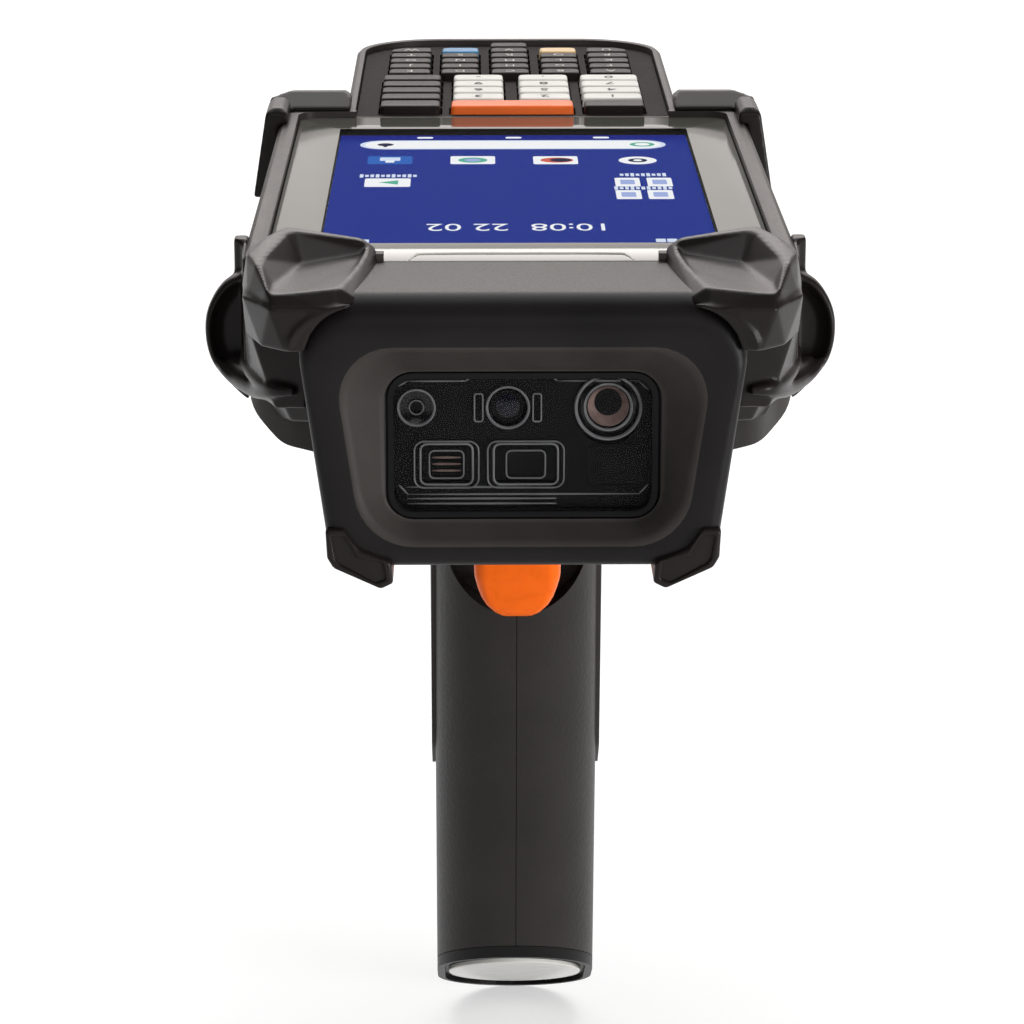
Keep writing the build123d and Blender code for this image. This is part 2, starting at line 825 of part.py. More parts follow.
# --- pistol grip --------------------------------------------------------------------------------
def grip_form(grow):
    """A straight raked handle of oval section, longer than the grip at both ends."""
    lean = (0, -math.sin(grip_turn), math.cos(grip_turn))
    start = Plane(origin=(0, grip_top_y, grip_top), x_dir=(1, 0, 0), z_dir=lean)
    oval = RectangleRounded(2 * (grip_half + grow), 2 * (grip_deep + grow), grip_corner + grow)
    return extrude(start * Pos(0, 0, -1.5 * grip_length) * oval, amount=2 * grip_length)


def grip_centre(drop):
    """Middle y of the grip at a depth below its top."""
    return grip_top_y + drop * math.tan(grip_turn)


def base_plane():
    normal = (0, math.sin(base_turn), math.cos(base_turn))
    return Plane(origin=(0, base_y, base_z), x_dir=(1, 0, 0), z_dir=normal)


def base_oval(inset):
    """An oval on the base plane, inset from the edge that this plane cuts across the grip."""
    half = grip_half - inset
    run = base_depth - grip_half
    points = []
    for i in range(oval_sides + 1):
        turn = math.pi * i / oval_sides
        points.append((half * math.cos(turn), run + half * math.sin(turn)))
    return base_plane() * polygon(points + [(-x, -y) for x, y in points])


def above_base(height):
    """Everything more than height above the grip's base plane."""
    size = 4 * grip_length
    return base_plane() * Pos(0, 0, height + size / 2) * Box(size, size, size)


def saddle():
    """The broad foot that fixes the grip under the belly."""
    plan = rounded(four_corners(saddle_half, saddle_front, saddle_back), 9.0)
    foot = up_z(plan, grip_top - saddle_thick, grip_top)
    return chamfer(foot.edges().group_by(Axis.Z)[0], saddle_edge)


def throat():
    """The finger recess: a round-ended slot across the front of the grip's neck."""
    points = [(throat_half, belly + 5), (throat_half, throat_low), (-throat_half, throat_low),
              (-throat_half, belly + 5)]
    slot = rounded(points, [0, throat_half - 0.01, throat_half - 0.01, 0])
    return along_y(slot, 0, throat_back)


def strap_zone(shift):
    """Side view of the backstrap: it wraps the sides of the grip's upper half."""
    top = strap_start + shift
    low = strap_start + strap_length - shift
    front_top = grip_centre(top) - strap_front + shift
    front_low = grip_centre(low) - strap_front + shift
    outline = [(front_top, grip_top - top), (front_low, grip_top - low + 6.0),
               (front_low + 8.0, grip_top - low), (120.0, grip_top - low - 14.0), (120.0, grip_top - top)]
    return along_x(rounded(outline, [1.0, 8.0, 6.0, 0, 0]), -40, 40)


def grip_shell():
    """The right half; the left half is its mirror."""
    shell = grip_form(0) & block(-40, 40, -50, 200, ground - 10, grip_top)
    shell += saddle()
    shell -= throat()
    shell &= above_base(cap_thick + seam_gap)
    shell -= strap_zone(0) - grip_form(-strap_thick - seam_gap)
    shell -= bar_x(-40, 40, pin_y, pin_z, pin_r + 0.02)
    shell -= lanyard_opening()
    return shell & block(seam_gap / 2, 40, -50, 200, ground - 10, belly + 5)


def lanyard_opening():
    """A notch in each side of the handle's back, and the eye through the web between them."""
    eye = base_plane() * Pos(0, lanyard_back, lanyard_rise)
    notch = Pos(0, 5, 0) * Box(60, 2 * lanyard_r + 12.2, 2 * lanyard_r + 1.4)
    web = Box(lanyard_web, 60, 60)
    return [eye * (notch - web), eye * Rot(0, 90, 0) * Cylinder(lanyard_r, 2 * lanyard_web)]


def grip_backstrap():
    strap = grip_form(strap_proud) - grip_form(-strap_thick)
    return strap & strap_zone(seam_gap)


def grip_base():
    """The end cap, with a seat for the oval plate."""
    cap = grip_form(0) - above_base(cap_thick)
    cap &= above_base(0)
    return cap - extrude(base_oval(badge_rim - face_gap), amount=badge_thick, both=True)


def grip_badge():
    return extrude(base_oval(badge_rim), amount=badge_thick - 0.1)


def trigger():
    front = trigger_front
    back = front + trigger_thick
    side = [(front + 2.6, belly - 1.2), (front + 0.4, belly - 8.0), (front, belly - 16.0),
            (front + 1.6, belly - 23.0), (front + 3.4, trigger_low), (back, trigger_low + 0.6),
            (back + 0.4, belly - 14.0), (pin_y + 3.6, pin_z - 3.4), (pin_y + 3.8, pin_z + 2.6),
            (pin_y, belly - 1.4)]
    blade = along_x(rounded(side, [1.2, 0, 6.0, 0, 1.2, 0, 0, 0, 0, 0]),
                    -trigger_width / 2, trigger_width / 2)
    half = trigger_width / 2
    right = [(half, belly), (half, trigger_low + 5.6), (half - 1.4, trigger_low + 2.2), (half - 4.4, trigger_low)]
    blade &= along_y(polygon(right + [(-x, z) for x, z in reversed(right)]), 20, 60)
    return blade - bar_x(-20, 20, pin_y, pin_z, pin_r + pin_clear)


def trigger_pin():
    return bar_x(0.4 - saddle_half, saddle_half - 0.4, pin_y, pin_z, pin_r)


def trigger_spring():
    """A bent leaf between the throat's back wall and the blade."""
    y0 = trigger_front + trigger_thick + 0.8
    top = belly - 10.6
    points = [(throat_back - 0.2, top), (throat_back - 0.2, top - 11.4), (y0 + 0.5, top - 14.4),
              (y0 + 0.2, top - 14.0), (throat_back - 0.6, top - 11.1), (throat_back - 0.6, top)]
    return along_x(polygon(points), -2.0, 2.0)


def trigger_switch():
    middle = belly - 16.0
    body = block(-9.0, -3.0, 42.2, throat_back - 0.2, middle - 4.0, middle + 4.0)
    return body + bar_y(41.2, 42.6, -6.0, middle, 1.0)


# --- battery ------------------------------------------------------------------------------------
def battery_pack():
    corners = four_corners(battery_half, battery_start, battery_end)
    pack = up_z(rounded(corners, battery_corner), tail_belly, tail_belly + battery_thick)
    notch = block(-latch_half - 0.5, latch_half + 0.5, battery_start - 1, battery_start + latch_bite + 0.4,
                  tail_belly + wall, tail_belly + wall + latch_thick + 0.6)
    grip = Pos(0, battery_end - 9.0, tail_belly) * Rot(90, 0, 90) * Cylinder(1.6, 22.0)
    return pack - notch - grip


def battery_latch():
    low = tail_belly + wall
    button = block(-latch_half, latch_half, latch_start, latch_start + latch_length, tail_belly + 0.2,
                   low + 0.5)
    plate = block(-latch_half, latch_half, latch_start - 1.0, battery_start + latch_bite, low + 0.3,
                  low + 0.3 + latch_thick)
    grooves = [block(-latch_half + 1, latch_half - 1, latch_start + 1.0 + i * 1.2,
                     latch_start + 1.5 + i * 1.2, tail_belly, tail_belly + 0.6) for i in range(3)]
    return button + plate - grooves


os.makedirs("parts", exist_ok=True)
save("upper_housing", upper_housing())
save("lower_housing", lower_housing())
save("housing_gasket", housing_gasket())
save("housing_screws", housing_screws())
save("dock_contacts", dock_contacts())
save("touch_glass", touch_glass())
save("display_panel", display_panel())
save("inner_chassis", inner_chassis())
save("main_board", main_board())
save("loudspeaker", loudspeaker())
save("keypad_plate", keypad_plate())
save("keypad_mat", keypad_mat())
save("keypad_board", keypad_board())
save_keys()
save("nose_frame", nose_frame())
save("nose_feet", nose_feet())
save("scan_window", scan_window())
save("scan_bezel", scan_bezel())
save("scan_engine", scan_engine())
save("camera_module", camera_module())
right_boot = corner_boot()
save("right_corner_boot", right_boot)
save("left_corner_boot", mirrored(right_boot))
save("rear_bumpers", both_sides(rear_bumper()))
right_shell = grip_shell()
save("grip_right_shell", right_shell)
save("grip_left_shell", mirrored(right_shell))
save("grip_backstrap", grip_backstrap())
save("grip_base", grip_base())
save("grip_badge", grip_badge())
save("trigger", trigger())
save("trigger_pin", trigger_pin())
save("trigger_spring", trigger_spring())
save("trigger_switch", trigger_switch())
save("battery_pack", battery_pack())
save("battery_latch", battery_latch())
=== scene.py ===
import math

import bmesh
import bpy
from mathutils import Matrix, Vector


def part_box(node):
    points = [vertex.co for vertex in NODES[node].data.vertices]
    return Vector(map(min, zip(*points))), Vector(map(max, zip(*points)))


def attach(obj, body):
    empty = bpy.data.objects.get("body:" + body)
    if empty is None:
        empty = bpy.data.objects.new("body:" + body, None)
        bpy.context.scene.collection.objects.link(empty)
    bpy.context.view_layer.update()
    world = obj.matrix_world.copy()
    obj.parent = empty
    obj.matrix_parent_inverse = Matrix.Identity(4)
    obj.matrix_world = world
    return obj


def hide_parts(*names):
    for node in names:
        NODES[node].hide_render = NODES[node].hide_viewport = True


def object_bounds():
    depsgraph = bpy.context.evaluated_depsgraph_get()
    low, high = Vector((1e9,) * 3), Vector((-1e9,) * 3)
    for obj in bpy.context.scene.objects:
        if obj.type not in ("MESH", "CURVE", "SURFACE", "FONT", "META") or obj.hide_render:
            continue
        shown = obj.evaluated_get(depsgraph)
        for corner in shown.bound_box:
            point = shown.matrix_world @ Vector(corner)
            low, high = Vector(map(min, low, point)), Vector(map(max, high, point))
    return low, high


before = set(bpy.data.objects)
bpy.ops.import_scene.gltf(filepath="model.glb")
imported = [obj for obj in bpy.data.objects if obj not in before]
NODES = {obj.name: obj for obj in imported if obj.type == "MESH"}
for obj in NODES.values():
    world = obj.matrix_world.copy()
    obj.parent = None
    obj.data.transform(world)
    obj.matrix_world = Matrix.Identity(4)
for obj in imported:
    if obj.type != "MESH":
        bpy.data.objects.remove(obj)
CAD_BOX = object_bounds()
MM = 0.001
TERMINAL = "terminal"

# The display frame: X right, Y from the nose to the keypad, Z up, origin on the glass face at the
# middle of the display's nose-side edge. Shapes below are drawn in it, in millimetres.
GLASS_FRONT = -12.5
GLASS_LOW, GLASS_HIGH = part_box("touch_glass")
ORIGIN = Vector((0, GLASS_LOW.y - GLASS_FRONT * MM, GLASS_HIGH.z))


def place(x, y, z):
    return ORIGIN + Vector((x, y, z)) * MM


# --- materials ---
DRIFT_SCALE = 60
ROUGH_DRIFT = 0.08
PIXEL_SCALE = 6000


def set_sockets(node, values):
    for socket, value in values.items():
        node.inputs[socket].default_value = value
    return node


def add_node(tree, kind, values=None):
    return set_sockets(tree.nodes.new(kind), values or {})


def wire(tree, *pairs):
    for source, target in pairs:
        tree.links.new(source, target)


def shade(colour, factor):
    return (colour[0] * factor, colour[1] * factor, colour[2] * factor, 1.0)


def new_material(name):
    material = bpy.data.materials.new(name)
    material.use_nodes = True
    tree = material.node_tree
    return material, tree, tree.nodes["Principled BSDF"]


def texture(tree, kind, values):
    """A texture laid in the object's own coordinates, so that it stays on the surface."""
    node = add_node(tree, kind, values)
    wire(tree, (add_node(tree, "ShaderNodeTexCoord").outputs["Object"], node.inputs["Vector"]))
    return node.outputs


def noise(tree, scale, detail=2.0, rough=0.55):
    return texture(tree, "ShaderNodeTexNoise", {"Scale": scale, "Detail": detail, "Roughness": rough})["Fac"]


def tint(tree, shader, source, colour, dark, light):
    """Base colour that drifts between two shares of a colour."""
    ramp = add_node(tree, "ShaderNodeValToRGB")
    for stop, position, share in zip(ramp.color_ramp.elements, (0.3, 0.7), (dark, light)):
        stop.position = position
        stop.color = shade(colour, share)
    wire(tree, (source, ramp.inputs["Fac"]), (ramp.outputs["Color"], shader.inputs["Base Color"]))


def roughen(tree, shader, source, low, high):
    """Roughness that follows a texture."""
    spread = add_node(tree, "ShaderNodeMapRange", {"To Min": low, "To Max": high})
    wire(tree, (source, spread.inputs["Value"]), (spread.outputs["Result"], shader.inputs["Roughness"]))


def emboss(tree, shader, source, strength, distance):
    bump = add_node(tree, "ShaderNodeBump", {"Strength": strength, "Distance": distance})
    wire(tree, (source, bump.inputs["Height"]), (bump.outputs["Normal"], shader.inputs["Normal"]))


def moulded(name, colour, rough, grain, depth, strength, spread, specular):
    """Moulded plastic or rubber: slow colour drift and a fine grain."""
    material, tree, shader = new_material(name)
    tint(tree, shader, noise(tree, DRIFT_SCALE, 3.0), colour, 1 - spread, 1 + spread)
    fine = noise(tree, grain, 2.0, 0.5)
    roughen(tree, shader, fine, rough - ROUGH_DRIFT, rough + ROUGH_DRIFT)
    emboss(tree, shader, fine, strength, depth)
    set_sockets(shader, {"Specular IOR Level": specular})
    return material


def metal(name, colour, rough):
    """Turned, plated or blasted metal."""
    material, tree, shader = new_material(name)
    fine = noise(tree, 900, 2.0, 0.5)
    tint(tree, shader, fine, colour, 0.8, 1.1)
    roughen(tree, shader, fine, rough - 0.08, rough + 0.1)
    emboss(tree, shader, fine, 0.2, 0.00002)
    set_sockets(shader, {"Metallic": 1.0})
    return material


def glossy(name, colour, rough, coat, spread=0.06, grain=400, specular=0.3):
    """Smooth gloss plastic with faint waviness."""
    material, tree, shader = new_material(name)
    waves = noise(tree, grain)
    tint(tree, shader, waves, colour, 1 - spread, 1 + spread)
    roughen(tree, shader, waves, rough * 0.8, rough * 1.25)
    emboss(tree, shader, waves, 0.05, 0.00003)
    set_sockets(shader, {"Coat Weight": coat, "Coat Roughness": 0.06, "Specular IOR Level": specular})
    return material


def clear(name, colour, alpha, rough, specular):
    """A clear sheet with the faintest smear in its gloss."""
    material, tree, shader = new_material(name)
    smear = noise(tree, 45, 3.0)
    tint(tree, shader, smear, colour, 0.8, 1.2)
    roughen(tree, shader, smear, rough, rough * 2.2)
    set_sockets(shader, {"Alpha": alpha, "Specular IOR Level": specular})
    return material


def lit(name, colour):
    """A lit picture element, with the faint grid of its pixels."""
    material, tree, shader = new_material(name)
    grid = texture(tree, "ShaderNodeTexChecker", {
        "Scale": PIXEL_SCALE, "Color1": shade(colour, 0.96), "Color2": shade(colour, 1.04)})
    wire(tree, (grid["Color"], shader.inputs["Emission Color"]))
    set_sockets(shader, {"Emission Strength": 1.0, "Base Color": shade(colour, 0.05), "Roughness": 0.6,
                         "Specular IOR Level": 0.0})
    return material


def board(name):
    """Circuit board: solder mask with copper tracks under it."""
    material, tree, shader = new_material(name)
    tracks = texture(tree, "ShaderNodeTexBrick", {
        "Scale": 260, "Mortar Size": 0.03, "Color1": (0.010, 0.075, 0.030, 1),
        "Color2": (0.012, 0.095, 0.038, 1), "Mortar": (0.03, 0.18, 0.07, 1)})
    wire(tree, (tracks["Color"], shader.inputs["Base Color"]))
    emboss(tree, shader, tracks["Fac"], 0.3, 0.00003)
    set_sockets(shader, {"Roughness": 0.35})
    return material


# Each moulded finish: colour, roughness, grain scale, grain depth and strength, colour spread, gloss.
RUBBER = moulded("boot_rubber_satin", (0.0125, 0.01, 0.0094), 0.33, 3000, 0.00002, 0.25, 0.12, 0.15)
NOSE = moulded("nose_plastic_black", (0.01, 0.0088, 0.0088), 0.4, 2400, 0.00003, 0.35, 0.18, 0.13)
# Painted light: the scoop is the nose's own black plastic, painted about four times lighter to stand in for
# floor light bouncing up onto its walls.
SCOOP_PAINTED_LIGHT = moulded("nose_plastic_scoop_painted_light", (0.04, 0.0355, 0.033), 0.5, 2400, 0.00002, 0.3, 0.18, 0.12)
CASE = moulded("case_plastic_black", (0.03, 0.0265, 0.025), 0.45, 2400, 0.00003, 0.4, 0.18, 0.3)
RAIL = moulded("rail_plastic_grey", (0.04, 0.034, 0.031), 0.4, 2400, 0.00003, 0.35, 0.2, 0.16)
PLATE = moulded("keypad_plate_grey", (0.016, 0.0132, 0.012), 0.55, 2200, 0.00004, 0.5, 0.22, 0.02)
GRIP = moulded("grip_plastic_grained", (0.025, 0.0225, 0.0212), 0.42, 1500, 0.00007, 0.8, 0.14, 0.14)
STRAP = moulded("strap_rubber_satin", (0.03, 0.026, 0.0245), 0.45, 1800, 0.00005, 0.5, 0.15, 0.25)
BASE = moulded("base_plastic_black", (0.008, 0.0075, 0.0075), 0.4, 2400, 0.00002, 0.3, 0.15, 0.12)
SEAL = moulded("seal_silicone", (0.01, 0.01, 0.01), 0.6, 2400, 0.00002, 0.3, 0.1, 0.25)
MAT = moulded("mat_silicone_grey", (0.05, 0.05, 0.05), 0.6, 2000, 0.00003, 0.3, 0.1, 0.3)
MODULE = moulded("module_black", (0.0045, 0.0045, 0.0047), 0.35, 1800, 0.00003, 0.3, 0.3, 0.12)
BATTERY = moulded("battery_case", (0.03, 0.03, 0.03), 0.5, 2200, 0.00004, 0.45, 0.15, 0.35)
LATCH = moulded("latch_plastic", (0.085, 0.085, 0.085), 0.45, 2200, 0.00003, 0.35, 0.12, 0.4)
KEY_DARK = moulded("key_dark_rubber", (0.015, 0.0115, 0.0098), 0.38, 2600, 0.00002, 0.3, 0.2, 0.08)
KEY_WHITE = moulded("key_white_matt", (0.66, 0.645, 0.605), 0.45, 2600, 0.00001, 0.2, 0.03, 0.25)
KEY_BLUE = moulded("key_blue_matt", (0.03, 0.205, 0.41), 0.42, 2600, 0.00001, 0.2, 0.08, 0.4)
KEY_YELLOW = moulded("key_tan_matt", (0.68, 0.46, 0.21), 0.42, 2600, 0.00001, 0.2, 0.06, 0.4)
KEY_ORANGE = moulded("key_orange_matt", (0.9, 0.15, 0.016), 0.4, 2600, 0.00001, 0.2, 0.06, 0.25)
TRIGGER = glossy("trigger_orange_gloss", (1.0, 0.15, 0.006), 0.28, 0.0, 0.06, 400, 0.12)
BADGE = glossy("badge_white_gloss", (0.8, 0.785, 0.74), 0.2, 0.3, 0.03)
LEGEND = moulded("legend_print_dark", (0.05, 0.05, 0.05), 0.6, 3000, 0.00001, 0.1, 0.1, 0.2)
LEGEND_PALE = moulded("legend_print_pale", (0.62, 0.6, 0.56), 0.6, 3000, 0.00001, 0.1, 0.08, 0.2)
OPTIC = glossy("optic_black_gloss", (0.003, 0.003, 0.0036), 0.14, 0.3, 0.2, 900)
BARREL = glossy("barrel_brown", (0.26, 0.175, 0.155), 0.3, 0.2, 0.25, 700)
LENS = glossy("lens_coated", (0.004, 0.005, 0.012), 0.05, 0.3, 0.2, 300)
STEEL = metal("turned_steel", (0.42, 0.41, 0.4), 0.32)
SCREW = metal("black_steel", (0.1, 0.1, 0.1), 0.38)
GOLD = metal("gold_plating", (0.8, 0.56, 0.22), 0.25)
CHASSIS = metal("blasted_aluminium", (0.55, 0.55, 0.55), 0.5)
CIRCUIT = board("circuit_board_green")
PANEL = glossy("panel_edge_black", (0.01, 0.01, 0.012), 0.25, 0.2)
GLASS = clear("glass_active_area", (0.004, 0.004, 0.006), 0.04, 0.03, 0.06)
WINDOW = clear("window_dark_clear", (0.001, 0.001, 0.0012), 0.16, 0.04, 0.16)
LIT_BLUE = lit("picture_blue", (0.017, 0.036, 0.26))
LIT_DEEP = lit("picture_blue_bar", (0.015, 0.022, 0.22))
LIT_MID = lit("picture_mid_blue", (0.03, 0.13, 0.48))
LIT_PALE = lit("picture_pale", (0.66, 0.74, 0.88))
LIT_WHITE = lit("picture_white", (0.88, 0.9, 0.92))
LIT_SOFT = lit("picture_soft", (0.34, 0.42, 0.72))
LIT_DARK = lit("picture_dark", (0.02, 0.024, 0.06))
LIT_GREEN = lit("picture_green", (0.1, 0.42, 0.3))
LIT_RED = lit("picture_red", (0.62, 0.12, 0.08))
TRIM = glossy("trim_satin_grey", (0.24, 0.24, 0.245), 0.2, 0.8, 0.1)
BORDER = glossy("glass_border_print", (0.105, 0.106, 0.09), 0.08, 0.0, 0.08, 60, 0.4)

# The finishes of the CAD nodes that stay in view. The others are replaced by pieces.
CAD_FINISH = {
    "lower_housing": CASE, "housing_gasket": SEAL, "housing_screws": SCREW, "dock_contacts": GOLD,
    "display_panel": PANEL, "inner_chassis": CHASSIS, "main_board": CIRCUIT, "loudspeaker": MODULE,
    "keypad_plate": PLATE, "keypad_mat": MAT, "keypad_board": CIRCUIT, "scan_bezel": MODULE,
    "scan_engine": MODULE, "camera_module": MODULE, "grip_right_shell": GRIP, "grip_left_shell": GRIP,
    "grip_backstrap": STRAP, "grip_base": BASE, "trigger_pin": STEEL, "trigger_spring": STEEL,
    "trigger_switch": MODULE,
}

for node_name, node_object in NODES.items():
    node_object.data.materials.clear()
    node_object.data.materials.append(CAD_FINISH.get(node_name, NOSE))


# --- mesh helpers ---
def linked(name, data):
    """An object in the scene that shows some data."""
    obj = bpy.data.objects.new(name, data)
    bpy.context.scene.collection.objects.link(obj)
    return obj


def to_object(name, points, faces, materials, smooth=True, picks=()):
    """A mesh object from points in the display frame, in millimetres; picks gives faces their materials."""
    mesh = bpy.data.meshes.new(name)
    mesh.from_pydata([place(*p) for p in points], [], faces)
    for material in materials:
        mesh.materials.append(material)
    for polygon, pick in zip(mesh.polygons, picks):
        polygon.material_index = pick
    obj = linked(name, mesh)
    tidy(obj)
    if smooth:
        mesh.shade_smooth()
    return obj


def tidy(obj):
    """Merges doubled points and turns every face outwards."""
    work = bmesh.new()
    work.from_mesh(obj.data)
    bmesh.ops.remove_doubles(work, verts=work.verts, dist=0.00001)
    bmesh.ops.recalc_face_normals(work, faces=work.faces)
    work.to_mesh(obj.data)
    work.free()


def baked(obj):
    """The mesh that an object shows, with its modifiers applied."""
    graph = bpy.context.evaluated_depsgraph_get()
    return bpy.data.meshes.new_from_object(obj.evaluated_get(graph))


def apply_all(obj):
    mesh = baked(obj)
    obj.modifiers.clear()
    obj.data = mesh


def sharpen(obj, angle):
    """Smooth shading that keeps edges sharper than an angle."""
    obj.data.shade_smooth()
    work = bmesh.new()
    work.from_mesh(obj.data)
    limit = math.radians(angle)
    for edge in work.edges:
        if len(edge.link_faces) == 2 and edge.calc_face_angle(0) > limit:
            edge.smooth = False
    work.to_mesh(obj.data)
    work.free()
    return obj


def settle(obj, node=None, body=TERMINAL):
    """Hides the node that a piece stands for, if one is given, and hangs the piece on the body that carries
    it.
    """
    if node:
        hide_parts(node)
    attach(obj, body)


def level(loop, z):
    """An outline of X and Y at a height."""
    return [(x, y, z) for x, y in loop]


def upright(loop, y):
    """An outline of X and Z at a depth."""
    return [(x, y, z) for x, z in loop]


def turns(count):
    return [2 * math.pi * k / count for k in range(count)]


def rounded_loop(corners, radii, steps):
    """Points round a polygon whose corners are rounded, as many for each corner."""
    loop = []
    for i, (corner, wanted) in enumerate(zip(corners, radii)):
        radius = max(wanted, 0.001)
        here = Vector(corner)
        back = (Vector(corners[i - 1]) - here).normalized()
        ahead = (Vector(corners[(i + 1) % len(corners)]) - here).normalized()
        half = back.angle(ahead) / 2
        reach = radius / math.tan(half)
        start = here + back * reach
        end = here + ahead * reach
        centre = here + (back + ahead).normalized() * radius / math.sin(half)
        first = math.atan2(start.y - centre.y, start.x - centre.x)
        last = math.atan2(end.y - centre.y, end.x - centre.x)
        turn = (last - first + math.pi) % (2 * math.pi) - math.pi
        for angle in [first + turn * step / steps for step in range(steps + 1)]:
            loop.append((centre[0] + radius * math.cos(angle), centre[1] + radius * math.sin(angle)))
    return loop


def box_loop(x0, x1, y0, y1, radius, steps=6):
    return rounded_loop([(x1, y0), (x1, y1), (x0, y1), (x0, y0)], [radius] * 4, steps)


def nose_loop(top_half, low_half, top, low, radii, y):
    """A rounded outline that narrows downwards, as the nose does; top and low lie below the glass."""
    corners = [(top_half, -top), (low_half, -low), (-low_half, -low), (-top_half, -top)]
    return upright(rounded_loop(corners, radii, 8), y)


def skin(rings, loop=False):
    """Points and faces over rings of as many points: flat ends, or the last ring joined to the first."""
    count = len(rings[0])
    points = [p for ring in rings for p in ring]
    faces = []
    for r in range(len(rings) if loop else len(rings) - 1):
        a = r * count
        b = (r + 1) % len(rings) * count
        faces += [(a + i, a + (i + 1) % count, b + (i + 1) % count, b + i) for i in range(count)]
    if not loop:
        faces += [tuple(range(count - 1, -1, -1)), tuple(range(len(points) - count, len(points)))]
    return points, faces


def loft(name, rings, materials, loop=False, picks=(), cap_pick=None):
    """A skin as an object; picks gives each span its material, and cap_pick gives the ends theirs."""
    chosen = [pick for pick in picks for _ in rings[0]]
    if picks and not loop:
        chosen += [picks[0], picks[-1]] if cap_pick is None else [cap_pick, cap_pick]
    return to_object(name, *skin(rings, loop), materials, True, chosen)


def hull(points):
    """Points and faces of the closed solid round some points."""
    work = bmesh.new()
    for p in points:
        work.verts.new(p)
    bmesh.ops.convex_hull(work, input=work.verts)
    bmesh.ops.delete(work, geom=[v for v in work.verts if not v.link_faces], context="VERTS")
    work.verts.index_update()
    facts = [tuple(v.co) for v in work.verts], [tuple(v.index for v in face.verts) for face in work.faces]
    work.free()
    return facts


def tube(path, radius, sides=10):
    """Points and faces of a round bar whose ends taper off, along a path."""
    rings = []
    last = len(path) - 1
    for i, p in enumerate(path):
        ahead = Vector(path[min(i + 1, last)]) - Vector(path[max(i - 1, 0)])
        side = ahead.cross(Vector((0, 0, 1))).normalized()
        up = side.cross(ahead).normalized()
        share = min(max(i / last, 0.06), 0.94)
        r = radius * (0.25 + 0.75 * math.sin(math.pi * share) ** 0.6)
        rings.append([Vector(p) + side * math.cos(a) * r + up * math.sin(a) * r for a in turns(sides)])
    return skin(rings)


def smooth_path(points, steps=6):
    """A smooth line through a few points."""
    path = []
    last = len(points) - 1
    for i in range(last):
        p0, p1, p2, p3 = [Vector(points[min(max(k, 0), last)]) for k in (i - 1, i, i + 1, i + 2)]
        for t in [step / steps for step in range(steps)]:
            path.append(tuple(0.5 * ((2 * p1) + (p2 - p0) * t + (2 * p0 - 5 * p1 + 4 * p2 - p3) * t ** 2
                                     + (3 * p1 - p0 - 3 * p2 + p3) * t ** 3)))
    return path + [tuple(points[-1])]


def cut_away(obj, cutter):
    """Takes one solid out of another, and drops it."""
    step = obj.modifiers.new("cut", "BOOLEAN")
    step.operation = "DIFFERENCE"
    step.solver = "EXACT"
    step.object = cutter
    apply_all(obj)
    bpy.data.objects.remove(cutter)


def remesh(obj, voxel):
    step = obj.modifiers.new("fuse", "REMESH")
    step.mode = "VOXEL"
    step.voxel_size = voxel * MM


def softened(obj, cuts, voxel, rounds, kept=1.0):
    """Cuts solids out of an object and melts what is left into one soft-edged skin."""
    for i, cut in enumerate(cuts):
        cut_away(obj, to_object(f"{obj.name}_cut_{i}", *cut, obj.data.materials[:], False))
    remesh(obj, voxel)
    soft = obj.modifiers.new("soft", "SMOOTH")
    soft.factor = 0.5
    soft.iterations = rounds
    if kept < 1:
        obj.modifiers.new("fewer", "DECIMATE").ratio = kept
    apply_all(obj)
    obj.data.shade_smooth()
    return obj


def fused(name, solids, voxel, material):
    """One object out of overlapping solids."""
    points = []
    faces = []
    for some_points, some_faces in solids:
        start = len(points)
        points += some_points
        faces += [tuple(start + i for i in face) for face in some_faces]
    obj = to_object(name, points, faces, [material], False)
    remesh(obj, voxel)
    apply_all(obj)
    return obj


def node_copy(node, name, material):
    """A copy of a CAD node's shape in one finish."""
    mesh = NODES[node].data.copy()
    mesh.materials.clear()
    mesh.materials.append(material)
    return linked(name, mesh)


def bevelled_node(node, name, width, material, segments):
    """A CAD node's shape with its sharp edges rounded off."""
    obj = node_copy(node, name, material)
    work = bmesh.new()
    work.from_mesh(obj.data)
    bmesh.ops.remove_doubles(work, verts=work.verts, dist=0.000002)
    bmesh.ops.dissolve_limit(work, angle_limit=math.radians(2), verts=work.verts, edges=work.edges)
    work.to_mesh(obj.data)
    work.free()
    step = obj.modifiers.new("edges", "BEVEL")
    step.width = width * MM
    step.segments = segments
    step.limit_method = "ANGLE"
    step.angle_limit = math.radians(28)
    apply_all(obj)
    return sharpen(obj, 40)


def mirrored_copy(obj, name):
    """The same piece on the other side of the middle plane."""
    mesh = obj.data.copy()
    mesh.transform(Matrix.Scale(-1, 4, Vector((1, 0, 0))))
    mesh.flip_normals()
    return linked(name, mesh)


def joined(name, pieces):
    """One object out of several."""
    work = bmesh.new()
    materials = []
    for piece in pieces:
        start = len(work.faces)
        work.from_mesh(piece.data)
        work.faces.ensure_lookup_table()
        materials += [material for material in piece.data.materials if material not in materials]
        moved = [materials.index(material) for material in piece.data.materials]
        for face in work.faces[start:]:
            face.material_index = moved[face.material_index]
        bpy.data.objects.remove(piece)
    mesh = bpy.data.meshes.new(name)
    work.to_mesh(mesh)
    work.free()
    for material in materials:
        mesh.materials.append(material)
    return linked(name, mesh)


